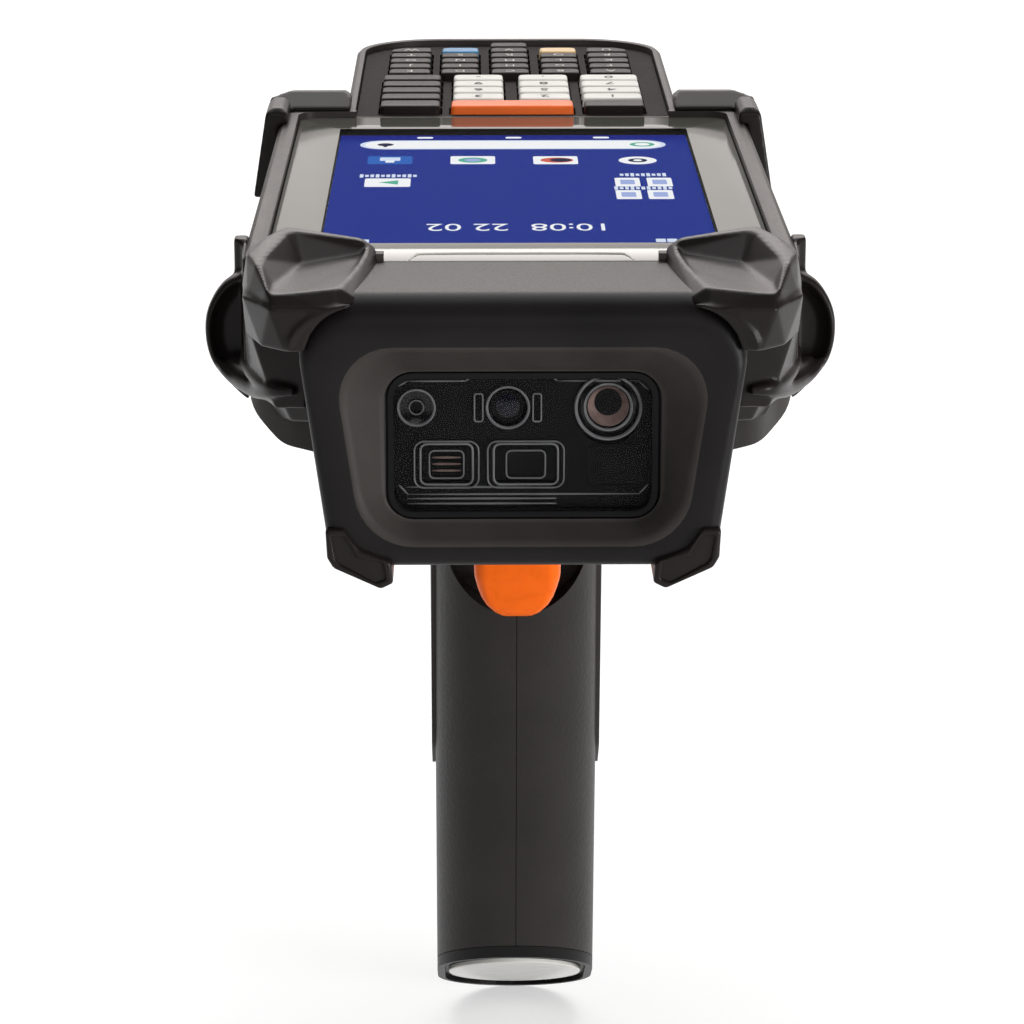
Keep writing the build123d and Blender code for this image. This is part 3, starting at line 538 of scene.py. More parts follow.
def printed(text, size, spot, material, depth=0.02, wide=1.0):
    """Characters that read upright from the keypad's end, printed just proud of a top face."""
    curve = bpy.data.curves.new("print", "FONT")
    curve.body = text
    curve.size = size * MM
    curve.align_x = "CENTER"
    curve.align_y = "CENTER"
    curve.extrude = depth / 2 * MM
    curve.resolution_u = 3
    holder = linked("print", curve)
    mesh = baked(holder)
    bpy.data.objects.remove(holder)
    mesh.transform(Matrix.Diagonal((wide, 1, 1, 1)))
    mesh.transform(Matrix.Rotation(math.pi, 4, "Z"))
    mesh.transform(Matrix.Translation(place(*spot)))
    mesh.materials.clear()
    mesh.materials.append(material)
    for polygon in mesh.polygons:
        polygon.material_index = 0
    return linked("print", mesh)


# --- corner boots ---
def horn():
    """The hipped outside of the horn."""
    return hull([
        (19.1, -10.4, -1.5), (19.4, -10.5, 0.3), (20.1, -10.9, 1.9), (21.8, -11.2, 3.1),
        (31.9, -11.4, 4.7), (34.6, -16, 4.1), (36.9, -22, 2.9), (37.6, -22, -1.5),
        (37.9, -11, -1.5), (37.4, -11, 1.6), (35.4, -28, 2.7), (33.6, -35.2, 0.9),
        (34.4, -34, -1.5), (36.6, -28.5, -1.5), (32.6, -36.9, -1.5), (24.4, -36.9, -1.5),
        (24.8, -34, 1.3), (22, -33.6, -0.6), (21.6, -34, -1.5),
    ])


def horn_pocket():
    """The hollow inside the rim: a dark back wall, a side wall and a floor that runs to the front."""
    return hull([
        (21.8, -14, 1.35), (29.6, -17.6, 0.8), (33, -31.5, 0.55), (33.2, -38, 0.25),
        (24.6, -38, 0.85), (22.3, -20, 1.1),
        (21.2, -12.9, 2.1), (30.6, -13.4, 4.2), (32, -14.6, 4.4), (35, -26, 3.2), (34.8, -30, 2.6),
        (34.4, -38, 1.6), (31, -14, 9), (34.6, -38, 9), (16, -38, 9), (16, -12.9, 9),
        (20.4, -20, 2.6), (22, -38, 2.6),
    ])


def ear():
    """The ear: rings of one rounded outline, with a shallow bowl sunk in its front."""
    outline = smooth_path([
        (37.6, -2.9), (41.2, -4.7), (43.5, -8.4), (43.9, -12.4), (42.9, -16.2), (40.2, -19.5),
        (37.4, -21.9), (34.5, -23), (31, -21), (29.5, -12), (31.5, -4.5), (37.6, -2.9)], 5)[:-1]
    mid_x, mid_z = 35.5, -12.6
    # Each ring is its share of the outline and its place along Y.
    steps = [(0.40, 17), (0.62, 12), (0.82, 6), (0.95, 1), (1, -2.6), (0.995, -4.2), (0.955, -5),
             (0.90, -4.7), (0.84, -3.7), (0.72, -2.9), (0.5, -2.9), (0.2, -3.2), (0.01, -3.3)]
    return skin([[(mid_x + (x - mid_x) * share, y, mid_z + (z - mid_z) * share) for x, z in outline]
                 for share, y in steps])


def boot_solids():
    """The right boot's overlapping solids: a plate or a bead for each stretch of rubber."""
    skirt = hull([(21.8, -13, -1.4), (21.8, -36.9, -1.2), (24.4, -37, -1.2), (33.2, -37, -1.2),
                  (37.2, -29, -1.2), (37.8, -13, -1.2), (21.8, -13, -7.2), (21.8, -36.4, -7.2),
                  (31.2, -36.4, -7.2), (34.6, -33, -7.2), (37, -25, -7.4), (37.6, -13, -7.4)])
    band = hull([(29, -27.5, -5), (37, -25.5, -5), (38, -4, -5), (29, -4, -5),
                 (29, -26, -17.4), (33.2, -25, -17.6), (36.6, -14, -17.8), (38.4, -4, -18),
                 (29, -4, -18), (35.2, -25.5, -11)])
    lap = hull([(28, -24, -16), (33, -23, -16), (36.6, -8, -16), (28, -8, -16),
                (27.5, -20.5, -20.6), (31.4, -20, -20.6), (34.9, -7, -22.8), (28, -7, -22.8)])
    side = hull([(31, -1.6, 0.9), (39, -1.4, 0.9), (39.9, -0.6, 0.9), (40, 2, 0.8), (31, 2, 0.8),
                 (40, 9, -1.6), (38.2, 12, -2.8), (31, 12, -2.8),
                 (31, -1.6, -6.2), (39, -1.4, -6.2), (39.9, -0.6, -6.2), (40, 9, -7),
                 (38.2, 12, -7), (31, 12, -7)])
    bridge = hull([(36.5, -14, 0.3), (37.9, -12, 0.3), (38.25, -8, 0.4), (38.8, -0.8, 0.5),
                   (36.5, -0.8, 0.5), (36.5, -14, -15), (37.9, -12, -14.4), (38.3, -8, -14.6),
                   (38.9, -0.8, -15), (36.5, -0.8, -15)])
    web = hull([(36, -16, -14.8), (38.4, -8.8, -14.8), (40.8, -5, -15), (41.4, -4.2, -16.6),
                (39.2, -8.2, -17.8), (36.2, -16, -17.6), (34, -3, -14.8), (34, -3, -18.4),
                (40.4, -3.4, -18.6), (33, -20, -16.6)])
    upper = smooth_path([(38.5, -6.2, -13.6), (37.9, -10.4, -14.3), (36.8, -16.4, -14.6), (34.9, -22.4, -14.7),
                         (33, -26, -14.6), (30.5, -26.8, -14.6)])
    lower = smooth_path([(42, -4.4, -15.8), (41, -5.8, -16.7), (39.2, -8.6, -17.4), (36.5, -16, -17),
                         (34.7, -22, -15.9), (33, -25.8, -15), (30.5, -26.8, -14.8)])
    front = smooth_path([(30.8, -36.7, -7), (30.6, -36.8, -6), (29.9, -36.8, -4.6), (28.2, -36.8, -3),
                         (26, -36.8, -1.9), (23.8, -36.7, -1.1), (22.6, -36.2, -0.8)])
    return [horn(), skirt, band, lap, side, bridge, web, ear(),
            tube(upper, 1.05), tube(lower, 1.25), tube(front, 0.45)]


def boot_cuts():
    """The horn's pocket, the front of the nose, and the glass and housings that the boot goes round."""
    opening = skin([nose_loop(29.9, 25.1, 1.1, 36.8, [7.4, 4, 4, 7.4], y) for y in (-42.0, -29.0)])
    body = hull([(x, y, z) for x in (-37.9, 37.9) for y in (-10.1, 30.0) for z in (-30.0, 8.0)])
    return [horn_pocket(), opening, body]


right_boot = softened(fused("right_boot_moulding", boot_solids(), 0.22, RUBBER), boot_cuts(), 0.22, 18, 0.3)
left_boot = mirrored_copy(right_boot, "left_boot_moulding")
settle(right_boot, "right_corner_boot")
settle(left_boot, "left_corner_boot")

bumper_slope = hull([(x, y, z) for x in (-60, 60)
                     for y, z in ((104.0, 1.35), (110.2, 3.75), (110.2, 9.0), (104.0, 9.0))])
bumpers = node_copy("rear_bumpers", "rear_bumper_mouldings", RUBBER)
tidy(bumpers)
settle(softened(bumpers, [bumper_slope], 0.35, 3), "rear_bumpers")


# --- scan nose ---
NOSE_TOP_HALF = 30.8
NOSE_LOW_HALF = 25.6
NOSE_LOW = 36.8
NOSE_FACE = -36.0
NOSE_BACK = -13.0


def nose_rounding(turn):
    """The outline part of the way round the front edge: wide at the top, tight elsewhere."""
    share = 1 - math.cos(turn)
    side = 1.6 * share
    radii = [8.0 - side, 4.0 - side / 2, 4.0 - side / 2, 8.0 - side]
    ring = []
    for x, _, z in nose_loop(NOSE_TOP_HALF - side, NOSE_LOW_HALF - side, 4.5 * share, NOSE_LOW - 1.8 * share,
                             radii, 0):
        high = min(max((z + 10.0) / 8.0, 0.0), 1.0)
        deep = 1.8 + 2.7 * high * high * (3 - 2 * high)
        ring.append((x, NOSE_FACE + deep * (1 - math.sin(turn)), z))
    return ring


def nose_piece():
    """The shell, from its back round the front edge, down the scoop and through the window's seat."""
    mouth = [7, 8, 8, 7]
    inside = [5.5, 2.5, 2.5, 5.5]
    rings = [nose_loop(NOSE_TOP_HALF, NOSE_LOW_HALF, 0, NOSE_LOW, [8, 4, 4, 8], NOSE_BACK)]
    rings += [nose_rounding(math.radians(angle)) for angle in range(0, 91, 15)]
    rings += [nose_loop(*row) for row in (
        (25.4, 21.4, 6.7, 33.9, mouth, NOSE_FACE),
        (24.7, 20.7, 7.2, 33.4, mouth, -35.75),
        (24.2, 20.3, 7.6, 33, mouth, -35.2),
        (19.4, 18.9, 10.4, 31.7, [4.6] * 4, -32.5),
        (18.9, 18.6, 10.7, 31.35, [4.2] * 4, -32.05),
        (18.5, 18.4, 10.85, 31.15, [3.9] * 4, -32),
        (18.3, 18.3, 10.9, 31.1, [3.6] * 4, -31.9),
        (18.3, 18.3, 10.9, 31.1, [3.6] * 4, -30.75),
        (17.3, 17.3, 11.9, 30.1, [2.6] * 4, -30.7),
        (17.3, 17.3, 11.9, 30.1, [2.6] * 4, -29.75),
        (28.3, 23.1, 4, 34.3, inside, -29.7),
        (28.3, 23.1, 4, 34.3, inside, NOSE_BACK),
    )]
    # The scoop's rings take the lighter copy of the nose plastic, which is painted light and not a different
    # plastic.
    return loft("nose_shell", rings, [NOSE, SCOOP_PAINTED_LIGHT], loop=True, picks=[0] * 8 + [1] * 5 + [0] * 7)


settle(sharpen(nose_piece(), 40), "nose_frame")


def toe_piece(name, side):
    """A toe: one outline that shrinks towards its middle as it turns in at the front."""
    profile = [(26.3, -31.2), (26.1, -35.2), (25.3, -36.6), (18.9, -39.5), (17.3, -38.7), (17.5, -35.8),
               (21.8, -34), (23.9, -31.2)]
    radii = [0.5, 1.2, 1.2, 0.8, 0.6, 0.8, 2, 0.5]
    outline = [Vector(p) for p in rounded_loop([(side * x, z) for x, z in profile], radii, 4)]
    centre = Vector((side * 22.4, -35.6))
    steps = [(0, -22), (0, -36.4), (0.12, -36.8), (0.4, -36.98), (0.85, -36.98), (1.05, -36.9), (1.2, -36.55)]
    rings = [upright([p - (p - centre).normalized() * inset for p in outline], y) for inset, y in steps]
    return sharpen(loft(name, rings, [RUBBER]), 50)


settle(toe_piece("right_toe_moulding", 1), "nose_feet")
settle(toe_piece("left_toe_moulding", -1))


# --- display ---
GLASS_HALF = 35.0
GLASS_END = 104.5
GLASS_THICK = 1.1
ACTIVE_HALF = 28.1
ACTIVE_END = 93.7
PICTURE_HALF = 28.0
PICTURE_END = 98.0
PICTURE_Z = -1.185
LAYER = 0.012


def glass_sheet():
    """The touch glass: a clear middle inside a printed border, with ground edges."""
    def ring(inset, z):
        half = GLASS_HALF - inset
        return level(box_loop(-half, half, GLASS_FRONT + inset, GLASS_END - inset, 3.0 - inset), z)

    active = box_loop(-ACTIVE_HALF, ACTIVE_HALF, 0.0, ACTIVE_END, 0.3)
    rings = [level(active, -GLASS_THICK), ring(0.12, -GLASS_THICK), ring(0.0, -GLASS_THICK + 0.12),
             ring(0.0, -0.16), ring(0.05, -0.05), ring(0.16, 0.0), level(active, 0.0)]
    return loft("touch_glass_sheet", rings, [BORDER, GLASS], cap_pick=1, picks=[0] * 6)


settle(sharpen(glass_sheet(), 25), "touch_glass")


class Picture:
    """The lit picture: flat shapes laid one over another just above the display."""

    def __init__(self):
        self.points = []
        self.faces = []
        self.picks = []
        self.materials = []

    def add(self, loop, layer, material):
        if material not in self.materials:
            self.materials.append(material)
        start = len(self.points)
        self.points += level(loop, PICTURE_Z + layer * LAYER)
        self.faces.append(tuple(range(start, start + len(loop))))
        self.picks.append(self.materials.index(material))

    def slab(self, x0, x1, y0, y1, layer, material, radius):
        self.add(box_loop(x0, x1, y0, y1, radius, 5), layer, material)

    def tile(self, x, y, half_x, half_y, layer, material, radius):
        self.slab(x - half_x, x + half_x, y - half_y, y + half_y, layer, material, radius)

    def disc(self, x, y, rx, ry, layer, material):
        self.add([(x + rx * math.cos(a), y + ry * math.sin(a)) for a in turns(32)], layer, material)

    def finish(self, name):
        return to_object(name, self.points, self.faces, self.materials, False, self.picks)


def draw_icons(picture):
    """The icon tiles with plain signs, and the rows of dashes that stand for their names."""
    tiles = [(-19.6, 71.6, LIT_MID), (-6.6, 71.5, LIT_WHITE), (6.4, 71.3, LIT_WHITE), (-19.6, 52.3, LIT_WHITE)]
    for x, y, material in tiles:
        picture.tile(x, y, 3.5, 3.5, 1, material, 0.5)
    picture.slab(-21.2, -18, 70.9, 73.9, 2, LIT_PALE, 0.3)
    picture.slab(-20.3, -18.9, 69.4, 71.4, 2, LIT_WHITE, 0.2)
    picture.add([(-21, 52.4), (-18, 50.6), (-18, 54.2)], 2, LIT_GREEN)
    for disc in ((-6.6, 71.4, 2.3, 2.3, 2, LIT_GREEN), (-6.6, 71.4, 1.3, 1.3, 3, LIT_SOFT),
                 (6.6, 71.3, 2.6, 2.2, 2, LIT_RED), (7.2, 71.3, 1.7, 1.6, 3, LIT_DARK),
                 (19.3, 71, 3, 3.4, 1, LIT_WHITE), (19.3, 71, 1.5, 1.7, 2, LIT_DARK),
                 (19.3, 71, 0.7, 0.8, 3, LIT_WHITE)):
        picture.disc(*disc)
    for x, y in ((17, 52.4), (21.9, 52.4), (16.8, 42.2), (21.6, 42.2)):
        picture.tile(x, y, 1.9, 3.6, 1, LIT_WHITE, 0.4)
        picture.tile(x, y, 1.1, 1.9, 2, LIT_SOFT, 0.3)
    for row_x, row_y, count in ((-19.6, 58, 11), (19.6, 58.6, 9), (19.2, 47.5, 11)):
        for k in range(count):
            x = row_x + (k - (count - 1) / 2) * 0.82
            tall = 0.9 + 0.5 * ((k * 7 + count) % 3) / 2
            picture.tile(x, row_y, 0.28, tall, 1, LIT_PALE, 0.1)


def home_picture():
    """A plain home screen: a search pill, icon tiles, and small marks at both ends."""
    picture = Picture()
    picture.slab(-PICTURE_HALF, PICTURE_HALF, 0.05, PICTURE_END, 0, LIT_BLUE, 0.1)
    picture.slab(-PICTURE_HALF, PICTURE_HALF, 89.9, PICTURE_END, 1, LIT_DEEP, 0.1)
    picture.slab(-24.7, 24.4, 81.3, 89.4, 1, LIT_PALE, 4)
    picture.slab(-23.9, 23.6, 82, 88.7, 2, LIT_WHITE, 3.3)
    picture.disc(-20.6, 85.4, 1.3, 1.3, 3, LIT_DARK)
    picture.slab(-20.9, -20.3, 83.2, 84.4, 3, LIT_DARK, 0.1)
    picture.disc(20.6, 85.3, 2, 2, 3, LIT_GREEN)
    picture.disc(20.6, 85.3, 1.2, 1.2, 4, LIT_WHITE)
    for x in (-14.3, 0, 14.2):
        picture.tile(x, 91.8, 1.3, 0.8, 2, LIT_WHITE, 0.5)
    for x, y in ((-22, 7.2), (20, 7.4), (21.6, 7.4)):
        picture.tile(x, y, 0.7, 1.2, 1, LIT_PALE, 0.2)
    draw_icons(picture)
    return picture.finish("home_picture")


clock = printed("10:08  22 02", 7.4, (0, 17.4, PICTURE_Z + 0.03), LIT_WHITE, 0.01, 0.72)
settle(joined("display_picture", [home_picture(), clock]))


def earpiece_rim():
    """The thin raised line round the earpiece slot at the nose edge of the glass."""
    path = smooth_path([(-15.3, -11.9, 0), (-14.6, -9.2, 0.05), (-12.8, -7.9, 0.05), (0, -7.7, 0.05),
                        (12.8, -7.9, 0.05), (14.6, -9.2, 0.05), (15.3, -11.9, 0)], 8)
    return to_object("earpiece_rim", *tube(path, 0.22, 8), [LEGEND_PALE])


settle(earpiece_rim())


# --- keys ---
KEY_TOP = 1.4
KEY_DRAFT = math.tan(math.radians(4))
FLANGE_TOP = -1.35
FLANGE_LOW = -1.95
TOP_ROW = 110.9
NUMBER_ROW = 118.3
NUMBER_PITCH = 6.74
LETTER_ROW = 145.4
LETTER_PITCH = 6.15
LETTER_COLUMN = 8.8
LETTERS = "ABCDEFGHIJKLMNOPQRSTUVWXYZ"
# The cap's outlines from its foot to the middle of its dished top: height, inset and corner radius.
CAP_RINGS = [(FLANGE_TOP + 0.01, 0.0, 0.8), (KEY_TOP - 0.42, 0.0, 0.8), (KEY_TOP - 0.2, 0.05, 0.8),
             (KEY_TOP - 0.06, 0.19, 0.8), (KEY_TOP, 0.46, 0.75), (KEY_TOP - 0.02, 1.0, 0.6),
             (KEY_TOP - 0.06, 1.6, 0.3)]


def key_ring(x, y, width, depth, cut, z, inset, radius):
    """One outline of a key; cut, 1 or -1, bevels its far corner on that side."""
    half = width / 2 + KEY_DRAFT * (KEY_TOP - z) - inset
    deep = depth / 2 + KEY_DRAFT * (KEY_TOP - z) - inset
    corners = [(half, -deep), (half, deep), (-half, deep), (-half, -deep)]
    radii = [radius] * 4
    if cut:
        trim = 2.2 - inset
        corners = [(half, -deep), (half, deep - trim), (half - trim, deep), (-half, deep), (-half, -deep)]
        radii = [radius, 0.3, 0.3, radius, radius]
    if cut < 0:
        corners = [(-px, py) for px, py in reversed(corners)]
        radii = radii[::-1]
    return level([(x + px, y + py) for px, py in rounded_loop(corners, radii, 5)], z)


def key_piece(name, x, y, width, depth, material, legend="", legend_size=0, ink=None, cut=0):
    """A cap with a flange under the plate, drafted sides, rolled edges and a faintly dished top."""
    rings = [key_ring(x, y, width + 1.4, depth - 0.02, cut, z, 0.0, 0.5) for z in (FLANGE_LOW, FLANGE_TOP)]
    rings += [key_ring(x, y, width, depth, cut, *row) for row in CAP_RINGS]
    pieces = [sharpen(loft(name + "_cap", rings, [material]), 45)]
    if legend:
        pieces.append(printed(legend, legend_size, (x, y, KEY_TOP - 0.02), ink))
    return joined(name + "_piece", pieces)


def number_keys():
    """The four rows of number keys and side keys, by node."""
    # From the keypad's end the digits read from the right column to the left one, top row nearest.
    columns = (("key_side", -17.0, 9.8, ""), ("key_number_left", -5.6, 8.4, "369-"),
               ("key_number_middle", 5.6, 8.4, "258."), ("key_number_right", 17.0, 9.8, "1470"))
    keys = {}
    for row in range(4):
        y = NUMBER_ROW + row * NUMBER_PITCH
        for name, x, width, digits in columns:
            node = f"{name}_{row + 1}"
            finish = (KEY_WHITE, digits[row], 3.4, LEGEND) if digits else (KEY_DARK,)
            keys[node] = [key_piece(node, x, y, width, 5.2, *finish)]
    return keys


def letter_keys():
    """The five rows of letter keys, by node, with a blue and a yellow key in the last row."""
    coloured = {(4, -1): ("key_blue", KEY_BLUE), (4, 1): ("key_yellow", KEY_YELLOW)}
    keys = {}
    letters = iter(LETTERS)
    for row in range(5):
        for column in (2, 1, 0, -1, -2):
            plain = (row, column) not in coloured
            node, material = coloured.get((row, column), (f"keys_letter_row_{row + 1}", KEY_DARK))
            outer = abs(column) == 2
            piece = key_piece(
                f"letter_{row + 1}_{column + 3}", column * LETTER_COLUMN, LETTER_ROW + row * LETTER_PITCH,
                7.1 if outer else 6.5, 4.6, material, next(letters) if plain else "", 2.6, LEGEND_PALE,
                column // 2 if outer and row == 4 else 0)
            keys.setdefault(node, []).append(piece)
    return keys


def add_keys():
    """One piece for each key node; the keys of a letter row share a node and move together."""
    keys = {
        "key_function_left": [key_piece("function_left", -17.0, TOP_ROW, 9.8, 6.0, KEY_DARK)],
        "key_function_right": [key_piece("function_right", 17.0, TOP_ROW, 9.8, 6.0, KEY_DARK)],
        "key_scan_orange": [key_piece("scan_orange", 0.0, TOP_ROW, 20.2, 6.0, KEY_ORANGE)],
        **number_keys(),
        **letter_keys(),
        "key_power": [key_piece("power", 0.0, LETTER_ROW + 5 * LETTER_PITCH, 6.5, 4.6, KEY_DARK)],
    }
    for node, pieces in keys.items():
        settle(pieces[0] if len(pieces) == 1 else joined(node + "_caps", pieces), node, body=node)


add_keys()


# --- scan optics ---
BEZEL_Y = -29.7
OPTIC_Z = -16.3
LAMP_Z = -24.1
IMAGER_X = -2.0
WINDOW_HALF = 18.1
WINDOW_LOW = -31.0
WINDOW_HIGH = -11.0
WINDOW_CORNER = 3.4


def turned(name, x, profile, materials, picks, lift=0.0):
    """A piece turned about a line along Y: its profile is radius and depth behind the bezel's face.

    The rings behind the face climb by lift for each millimetre of depth, for a slanting bore."""
    rings = []
    for r, deep in profile:
        middle = OPTIC_Z + lift * max(deep, 0.0)
        rings.append([(x + r * math.cos(a), BEZEL_Y + deep, middle + r * math.sin(a)) for a in turns(48)])
    return sharpen(loft(name, rings, materials, picks=picks), 30)


def frame_ring(name, x, z, half_x, half_z, radius, width, height, material=TRIM):
    """A low rounded ridge that follows a rounded rectangle on the bezel's face."""
    rings = []
    for share, lift in ((0.5, 0.0), (0.5, 0.7), (0.25, 1.0), (-0.25, 1.0), (-0.5, 0.7), (-0.5, 0.0)):
        grow = width * share
        wide = half_x + grow
        tall = half_z + grow
        loop = box_loop(x - wide, x + wide, z - tall, z + tall, max(radius + grow, 0.05))
        rings.append(upright(loop, BEZEL_Y - height * lift))
    return loft(name, rings, [material], loop=True)


def rib(name, start, end, lift, radius, material):
    """A fine straight ridge on the bezel's face, between two points of X and Z."""
    (x0, z0), (x1, z1) = start, end
    path = upright([(x0 + (x1 - x0) * t / 8, z0 + (z1 - z0) * t / 8) for t in range(9)], BEZEL_Y - lift)
    return to_object(name, *tube(path, radius, 8), [material])


def ports():
    """The aimer, the imager and the camera, each a turned port."""
    # Aimer: a small round port with a dark eye in a bright lip.
    aimer = turned("aimer_port", -14.2, [
        (2.1, 1.5), (2.1, 0.02), (2.62, 0.02), (2.6, -0.3), (2.5, -0.42), (2.36, -0.4), (2.25, -0.12),
        (1.6, 0.1), (1.1, 0.2), (1.05, -0.1), (0.95, -0.2), (0.85, -0.1), (0.8, 0.9), (0.01, 1)],
        [OPTIC, TRIM], [0, 0, 0, 1, 1, 1, 0, 0, 0, 1, 1, 0, 0])
    # Imager: a deep black lens in a thin bright ring.
    imager = turned("imager_port", IMAGER_X, [
        (2.6, 1.5), (2.6, 0.02), (3, 0.02), (2.98, -0.35), (2.88, -0.5), (2.72, -0.48), (2.6, -0.2),
        (2.4, 0.3), (1.9, 0.9), (1.6, 0.6), (0.9, 0.45), (0.01, 0.4)],
        [OPTIC, TRIM, LENS], [0, 0, 0, 1, 1, 1, 0, 0, 0, 2, 2])
    # Camera: a brown cone that runs up to a dark hole, inside a wide black barrel.
    camera = turned("camera_port", 11.4, [
        (4.3, 1.55), (4.3, 0.02), (4.6, 0.02), (4.58, -0.4), (4.46, -0.6), (4.28, -0.6), (4.1, -0.3),
        (3.7, 0.1), (3.4, 0), (3.3, -0.2), (3.12, -0.25), (2.95, -0.1), (2.75, 0.1), (1.35, 1.2), (1.2, 1.35),
        (0.01, 1.4)],
        [OPTIC, TRIM, BARREL, LENS], [0, 0, 0, 1, 1, 1, 0, 0, 0, 1, 1, 0, 2, 3, 3], 0.6)
    return [aimer, imager, camera]


def optics():
    """The rings, frames and lenses behind the window, all standing on the bezel."""
    pieces = ports()
    for x in (IMAGER_X - 3.9, IMAGER_X + 3.9):
        pieces.append(frame_ring("imager_bracket", x, OPTIC_Z, 0.55, 1.9, 0.3, 0.22, 0.5))
    # Lamps: nested outlines round two lenses, the left one with stripes.
    for z in (LAMP_Z - 0.9, LAMP_Z, LAMP_Z + 0.9):
        pieces.append(rib("lamp_stripe", (-12.1, z), (-8.3, z), 0.05, 0.16, BARREL))
    for x, half, step in ((-10.2, 3.5, 2.3), (0.4, 4.3, 2.6)):
        pieces.append(frame_ring("lamp_frame", x, LAMP_Z, half + 0.8, 3.2, 1.3, 0.22, 0.6))
        pieces.append(frame_ring("lamp_rim", x, LAMP_Z, half, 2.8, 0.9, 0.3, 0.35))
        pieces.append(frame_ring("lamp_step", x, LAMP_Z, step, 1.9, 0.7, 0.22, 0.5))
    # The plate's outline, with its step over the imager, and the ledges below the lamps.
    outline = [(-16.6, -13.4), (-15.4, -12.7), (-7.6, -12.7), (-6.4, -11.7), (3.4, -11.7), (4.6, -12.7),
               (15.4, -12.7), (16.8, -14), (16.8, -27), (15.6, -28.3), (-15.4, -28.3), (-16.6, -27)]
    for start, end in zip(outline, outline[1:] + outline[:1]):
        pieces.append(rib("plate_line", start, end, 0.02, 0.14, TRIM))
    for z in (-27.3, -28.9, -29.6):
        pieces.append(rib("ledge", (-15.5, z), (4.5, z), 0.02, 0.16, TRIM))
    pieces.append(frame_ring("blank_port", 12.6, LAMP_Z - 0.3, 3.9, 2.7, 0.6, 0.16, 0.2, MODULE))
    return pieces


settle(joined("optics_trim", optics()))


def window_sheet():
    """The clear scan window: a flat pane with ground edges."""
    rings = []
    for inset, y in ((0.0, -30.8), (0.0, -31.85), (0.12, -32.0), (0.9, -32.0), (1.0, -31.98)):
        wide = WINDOW_HALF - inset
        loop = box_loop(-wide, wide, WINDOW_LOW + inset, WINDOW_HIGH - inset, WINDOW_CORNER - inset)
        rings.append(upright(loop, y))
    return loft("scan_window_pane", rings, [MODULE, WINDOW], cap_pick=1, picks=[1, 0, 0, 1])


settle(sharpen(window_sheet(), 30), "scan_window")


# --- trigger, housings and handle ---
BELLY = -38.0
PLATE_SHARE = 0.72
GRIP_LEAN = math.tan(math.radians(12.3))
GRIP_MIDDLE = 50.2
LINER_HALF = 0.05
LINER_REACH = 13.6
LINER_TOP = -62.0
LINER_LOW = -126.0
GRIP_FOOT = -134.0
LINING_ENDS = (73.9, 103.9)


def trigger_blade():
    """The blade, in level slices: depth below the belly, front, back, half width and corner radius."""
    slices = [(1.3, 34, 40.8, 5.9, 0.8), (1.6, 33.4, 41.4, 6.3, 1.2), (3.4, 32.9, 44.6, 6.6, 1.6),
              (6, 32.2, 44.8, 6.6, 1.7), (8, 31.7, 44.7, 6.6, 1.8), (9.6, 31.45, 44, 6.6, 1.8),
              (11.5, 31.25, 41, 6.6, 1.9), (14, 31.1, 38.7, 6.6, 2), (17, 31.05, 38.3, 6.6, 2.1),
              (19.4, 31.1, 38.1, 6.55, 2.1), (20, 31.2, 38, 6.5, 2), (20.5, 31.5, 37.8, 6.4, 1.8),
              (22, 32.2, 37, 6.05, 1.7), (23.6, 32.8, 36.4, 5.5, 1.5), (25, 33.4, 36.1, 4.7, 1.2),
              (26.2, 34, 35.9, 3.5, 0.8), (26.8, 34.5, 35.6, 2.4, 0.5), (26.95, 34.8, 35.3, 1.6, 0.2)]
    rings = []
    for drop, front, back, half, radius in slices:
        radius = min(radius, (back - front) / 2 - 0.05)
        rings.append(level(box_loop(-half, half, front, back, radius), BELLY - drop))
    return loft("trigger_blade", rings, [TRIGGER])


def oval_plate():
    """The white plate in the end cap: an oval with a soft edge, which lies on the floor of its seat."""
    node = NODES["grip_badge"]
    points = [node.matrix_world @ v.co for v in node.data.vertices]
    low, high = (Vector(pick(values) for values in zip(*points)) for pick in (min, max))
    middle = (low + high) / 2
    broad = max(node.data.polygons, key=lambda face: face.area)
    normal = (node.matrix_world.to_3x3() @ broad.normal).normalized()
    if normal.z > 0:
        normal = -normal
    along = normal.cross(Vector((1, 0, 0))).normalized()
    deep = [(p - middle).dot(normal) for p in points]
    half = (high.x - low.x) / 2
    reach = max((p - middle).dot(along) for p in points) * PLATE_SHARE
    rings = []
    for inset, share in ((0.5, 0.0), (0.5, 0.75), (0.62, 0.95), (0.85, 1.0), (5.0, 1.0)):
        rise = normal * (min(deep) + (max(deep) - min(deep)) * share)
        ring = []
        for turn in turns(72):
            across = Vector(((half - inset * MM) * math.cos(turn), 0, 0))
            ring.append((middle + across + along * (reach - inset * MM) * math.sin(turn) + rise - ORIGIN) / MM)
        rings.append(ring)
    return loft("oval_plate", rings, [BADGE])


def seam_liner():
    """A thin web that closes the seam between the grip's two shells, sunk under their surface."""
    def middle(z):
        return GRIP_MIDDLE + (BELLY - 0.1 - z) * GRIP_LEAN

    top = middle(LINER_TOP)
    foot = middle(GRIP_FOOT)
    corners = [(top - LINER_REACH, LINER_TOP), (top + LINER_REACH, LINER_TOP), (foot + LINER_REACH, LINER_LOW),
               (foot - LINER_REACH - 1.8, LINER_LOW)]
    outline = rounded_loop(corners, [0.8] * 4, 4)
    return loft("seam_liner", [[(x, y, z) for y, z in outline] for x in (-LINER_HALF, LINER_HALF)], [SEAL])


def flank_lining():
    """The sloping strip of the lower housing's flank beside the battery, where the CAD shell is open."""
    outside = [(36.4, -22.1), (32.95, -25.55), (27.9, -26.83)]
    inside = [(27.9, -25.4), (32.2, -24.1), (35.9, -20.4)]
    return loft("right_flank_lining", [upright(outside + inside, y) for y in LINING_ENDS], [CASE])


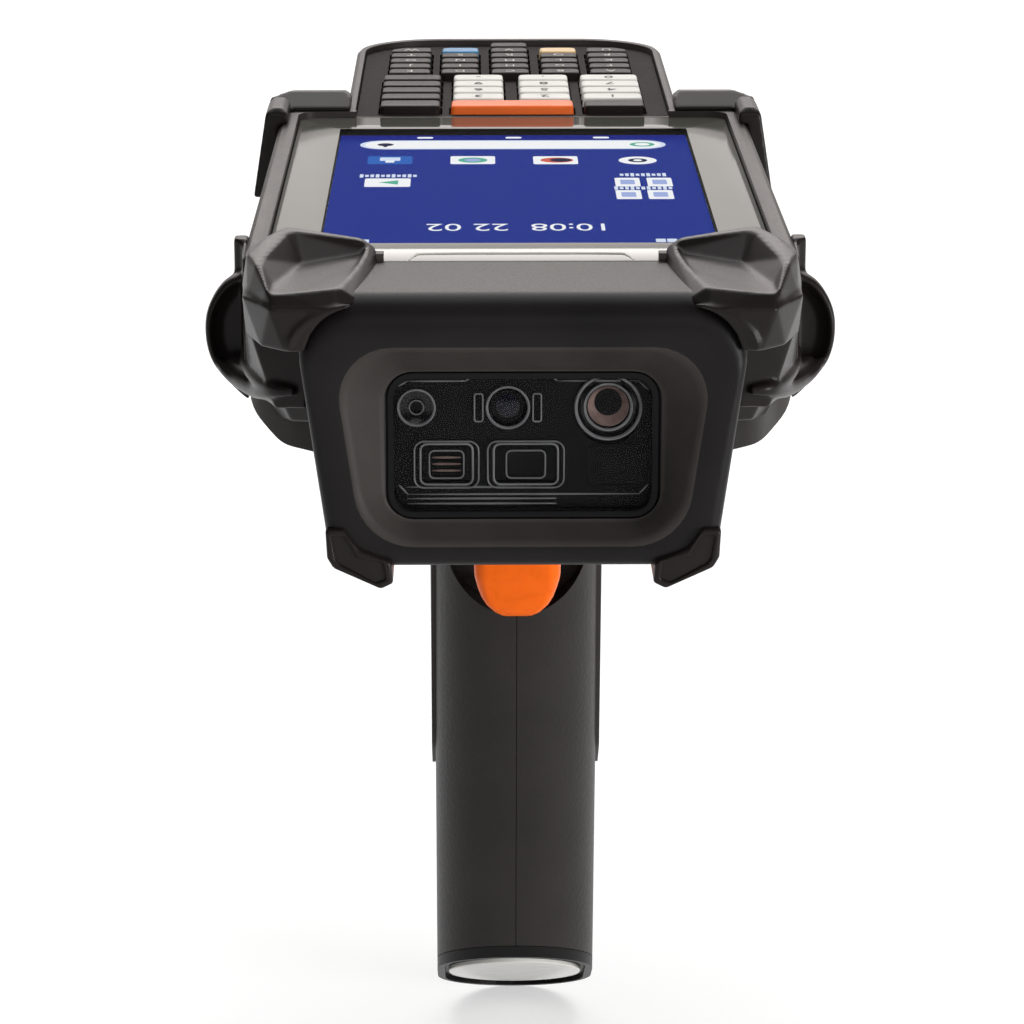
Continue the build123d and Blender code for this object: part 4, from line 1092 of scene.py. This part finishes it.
settle(sharpen(trigger_blade(), 50), "trigger", body="trigger")
settle(sharpen(seam_liner(), 40))
lining = sharpen(flank_lining(), 40)
settle(lining)
settle(mirrored_copy(lining, "left_flank_lining"))
settle(sharpen(oval_plate(), 40), "grip_badge")
settle(bevelled_node("upper_housing", "upper_case", 0.35, RAIL, 2), "upper_housing")
settle(bevelled_node("battery_pack", "battery_cover", 0.6, BATTERY, 3), "battery_pack")
settle(bevelled_node("battery_latch", "battery_latch_cap", 0.3, LATCH, 2), "battery_latch",
       body="battery_latch")


# --- camera, lights, floor ---
SENSOR = 36.0
FOCAL_PIXELS = 3922.7
PHOTO_PIXELS = 1024
CAMERA_SPOT = (-6.5, -537.8, 108.5)
CAMERA_LINE = (0.0096, 0.9644, -0.2644)
SKY = 0.42
FLOOR_GLOW = 0.50
FLOOR_HALF = 9.0
GLOSS_FRONT = 0.08
GLOSS_BACK = 1.0
GLOSS_START = 0.7
GLOSS_FULL = 0.97
WHITE = (1.0, 1.0, 1.0)
WARM = (1.0, 0.94, 0.915)


def look_along(line):
    return Vector(line).to_track_quat("-Z", "Y").to_euler()


def add_camera():
    data = bpy.data.cameras.new("view")
    data.sensor_fit = "HORIZONTAL"
    data.sensor_width = SENSOR
    data.lens = FOCAL_PIXELS / PHOTO_PIXELS * SENSOR
    data.clip_end = 20
    camera = linked("view", data)
    camera.location = place(*CAMERA_SPOT)
    camera.rotation_euler = look_along(CAMERA_LINE)
    bpy.context.scene.camera = camera


def add_lamp(name, spot, height, size, power, colour=WHITE):
    """A soft panel that faces a point above the middle of the floor."""
    data = bpy.data.lights.new(name, "AREA")
    data.color = colour
    data.shape = "RECTANGLE"
    data.size, data.size_y = size
    data.energy = power
    lamp = linked(name, data)
    lamp.location = spot
    lamp.rotation_euler = look_along(Vector((0, 0, height)) - Vector(spot))
    lamp.visible_camera = False


def seen_rays(tree):
    """1 where a camera, glossy or transmission ray looks, else 0."""
    path = add_node(tree, "ShaderNodeLightPath").outputs
    total = path["Is Camera Ray"]
    for name in ("Is Glossy Ray", "Is Transmission Ray"):
        larger = add_node(tree, "ShaderNodeMath")
        larger.operation = "MAXIMUM"
        wire(tree, (total, larger.inputs[0]), (path[name], larger.inputs[1]))
        total = larger.outputs[0]
    return total


def studio_strength(tree):
    """1 where the camera looks; for gloss, white behind the object and dim before it."""
    coords = add_node(tree, "ShaderNodeTexCoord")
    split = add_node(tree, "ShaderNodeSeparateXYZ")
    depth = add_node(tree, "ShaderNodeMapRange", {
        "From Min": GLOSS_START, "From Max": GLOSS_FULL, "To Min": GLOSS_FRONT, "To Max": GLOSS_BACK})
    path = add_node(tree, "ShaderNodeLightPath")
    plain = add_node(tree, "ShaderNodeMix", {"B": 1.0})
    wire(tree, (coords.outputs["Generated"], split.inputs["Vector"]),
         (split.outputs["Y"], depth.inputs["Value"]), (depth.outputs["Result"], plain.inputs["A"]),
         (path.outputs["Is Camera Ray"], plain.inputs["Factor"]))
    return plain.outputs["Result"]


def add_world():
    """A sky that lights softly, and a white studio for the rays that look at it."""
    world = bpy.data.worlds.new("studio")
    world.use_nodes = True
    bpy.context.scene.world = world
    tree = world.node_tree
    plain = set_sockets(tree.nodes["Background"], {"Color": (*WHITE, 1), "Strength": SKY})
    white = add_node(tree, "ShaderNodeBackground")
    path = add_node(tree, "ShaderNodeLightPath")
    tone = add_node(tree, "ShaderNodeMix")
    tone.data_type = "RGBA"
    set_sockets(tone, {"A": (*WARM, 1), "B": (*WHITE, 1)})
    mix = add_node(tree, "ShaderNodeMixShader")
    wire(tree, (path.outputs["Is Camera Ray"], tone.inputs["Factor"]),
         (tone.outputs["Result"], white.inputs["Color"]), (studio_strength(tree), white.inputs["Strength"]),
         (seen_rays(tree), mix.inputs["Fac"]),
         (plain.outputs["Background"], mix.inputs[1]), (white.outputs["Background"], mix.inputs[2]),
         (mix.outputs["Shader"], tree.nodes["World Output"].inputs["Surface"]))


def floor_material():
    """Matt white, which glows faintly for the rays that look at it."""
    material, tree, shader = new_material("floor_white")
    tint(tree, shader, noise(tree, 3), WHITE, 0.57, 0.59)
    set_sockets(shader, {"Roughness": 0.9, "Specular IOR Level": 0.1})
    glow = add_node(tree, "ShaderNodeEmission", {"Strength": FLOOR_GLOW})
    none = add_node(tree, "ShaderNodeEmission", {"Strength": 0.0})
    mix = add_node(tree, "ShaderNodeMixShader")
    both = add_node(tree, "ShaderNodeAddShader")
    wire(tree, (seen_rays(tree), mix.inputs["Fac"]), (none.outputs["Emission"], mix.inputs[1]),
         (glow.outputs["Emission"], mix.inputs[2]), (shader.outputs["BSDF"], both.inputs[0]),
         (mix.outputs["Shader"], both.inputs[1]),
         (both.outputs["Shader"], tree.nodes["Material Output"].inputs["Surface"]))
    return material


def add_floor():
    signs = ((-1, -1), (1, -1), (1, 1), (-1, 1))
    corners = [(x * FLOOR_HALF, y * FLOOR_HALF, CAD_BOX[0][2]) for x, y in signs]
    mesh = bpy.data.meshes.new("floor")
    mesh.from_pydata(corners, [], [(0, 1, 2, 3)])
    mesh.materials.append(floor_material())
    linked("floor", mesh)


add_camera()
add_world()
add_floor()
add_lamp("overhead", (0.0, 0.45, 1.2), 0.12, (1.2, 1.0), 9)
add_lamp("back_softbox", (0.0, 1.65, 1.10), 0.12, (1.5, 0.6), 12, WARM)
add_lamp("front_fill", (0.1, -1.7, 0.9), 0.08, (1.0, 0.6), 3)
add_lamp("right_panel", (0.80, -0.65, 0.02), 0.06, (0.5, 0.6), 14)
bpy.context.scene.view_settings.view_transform = "Standard"
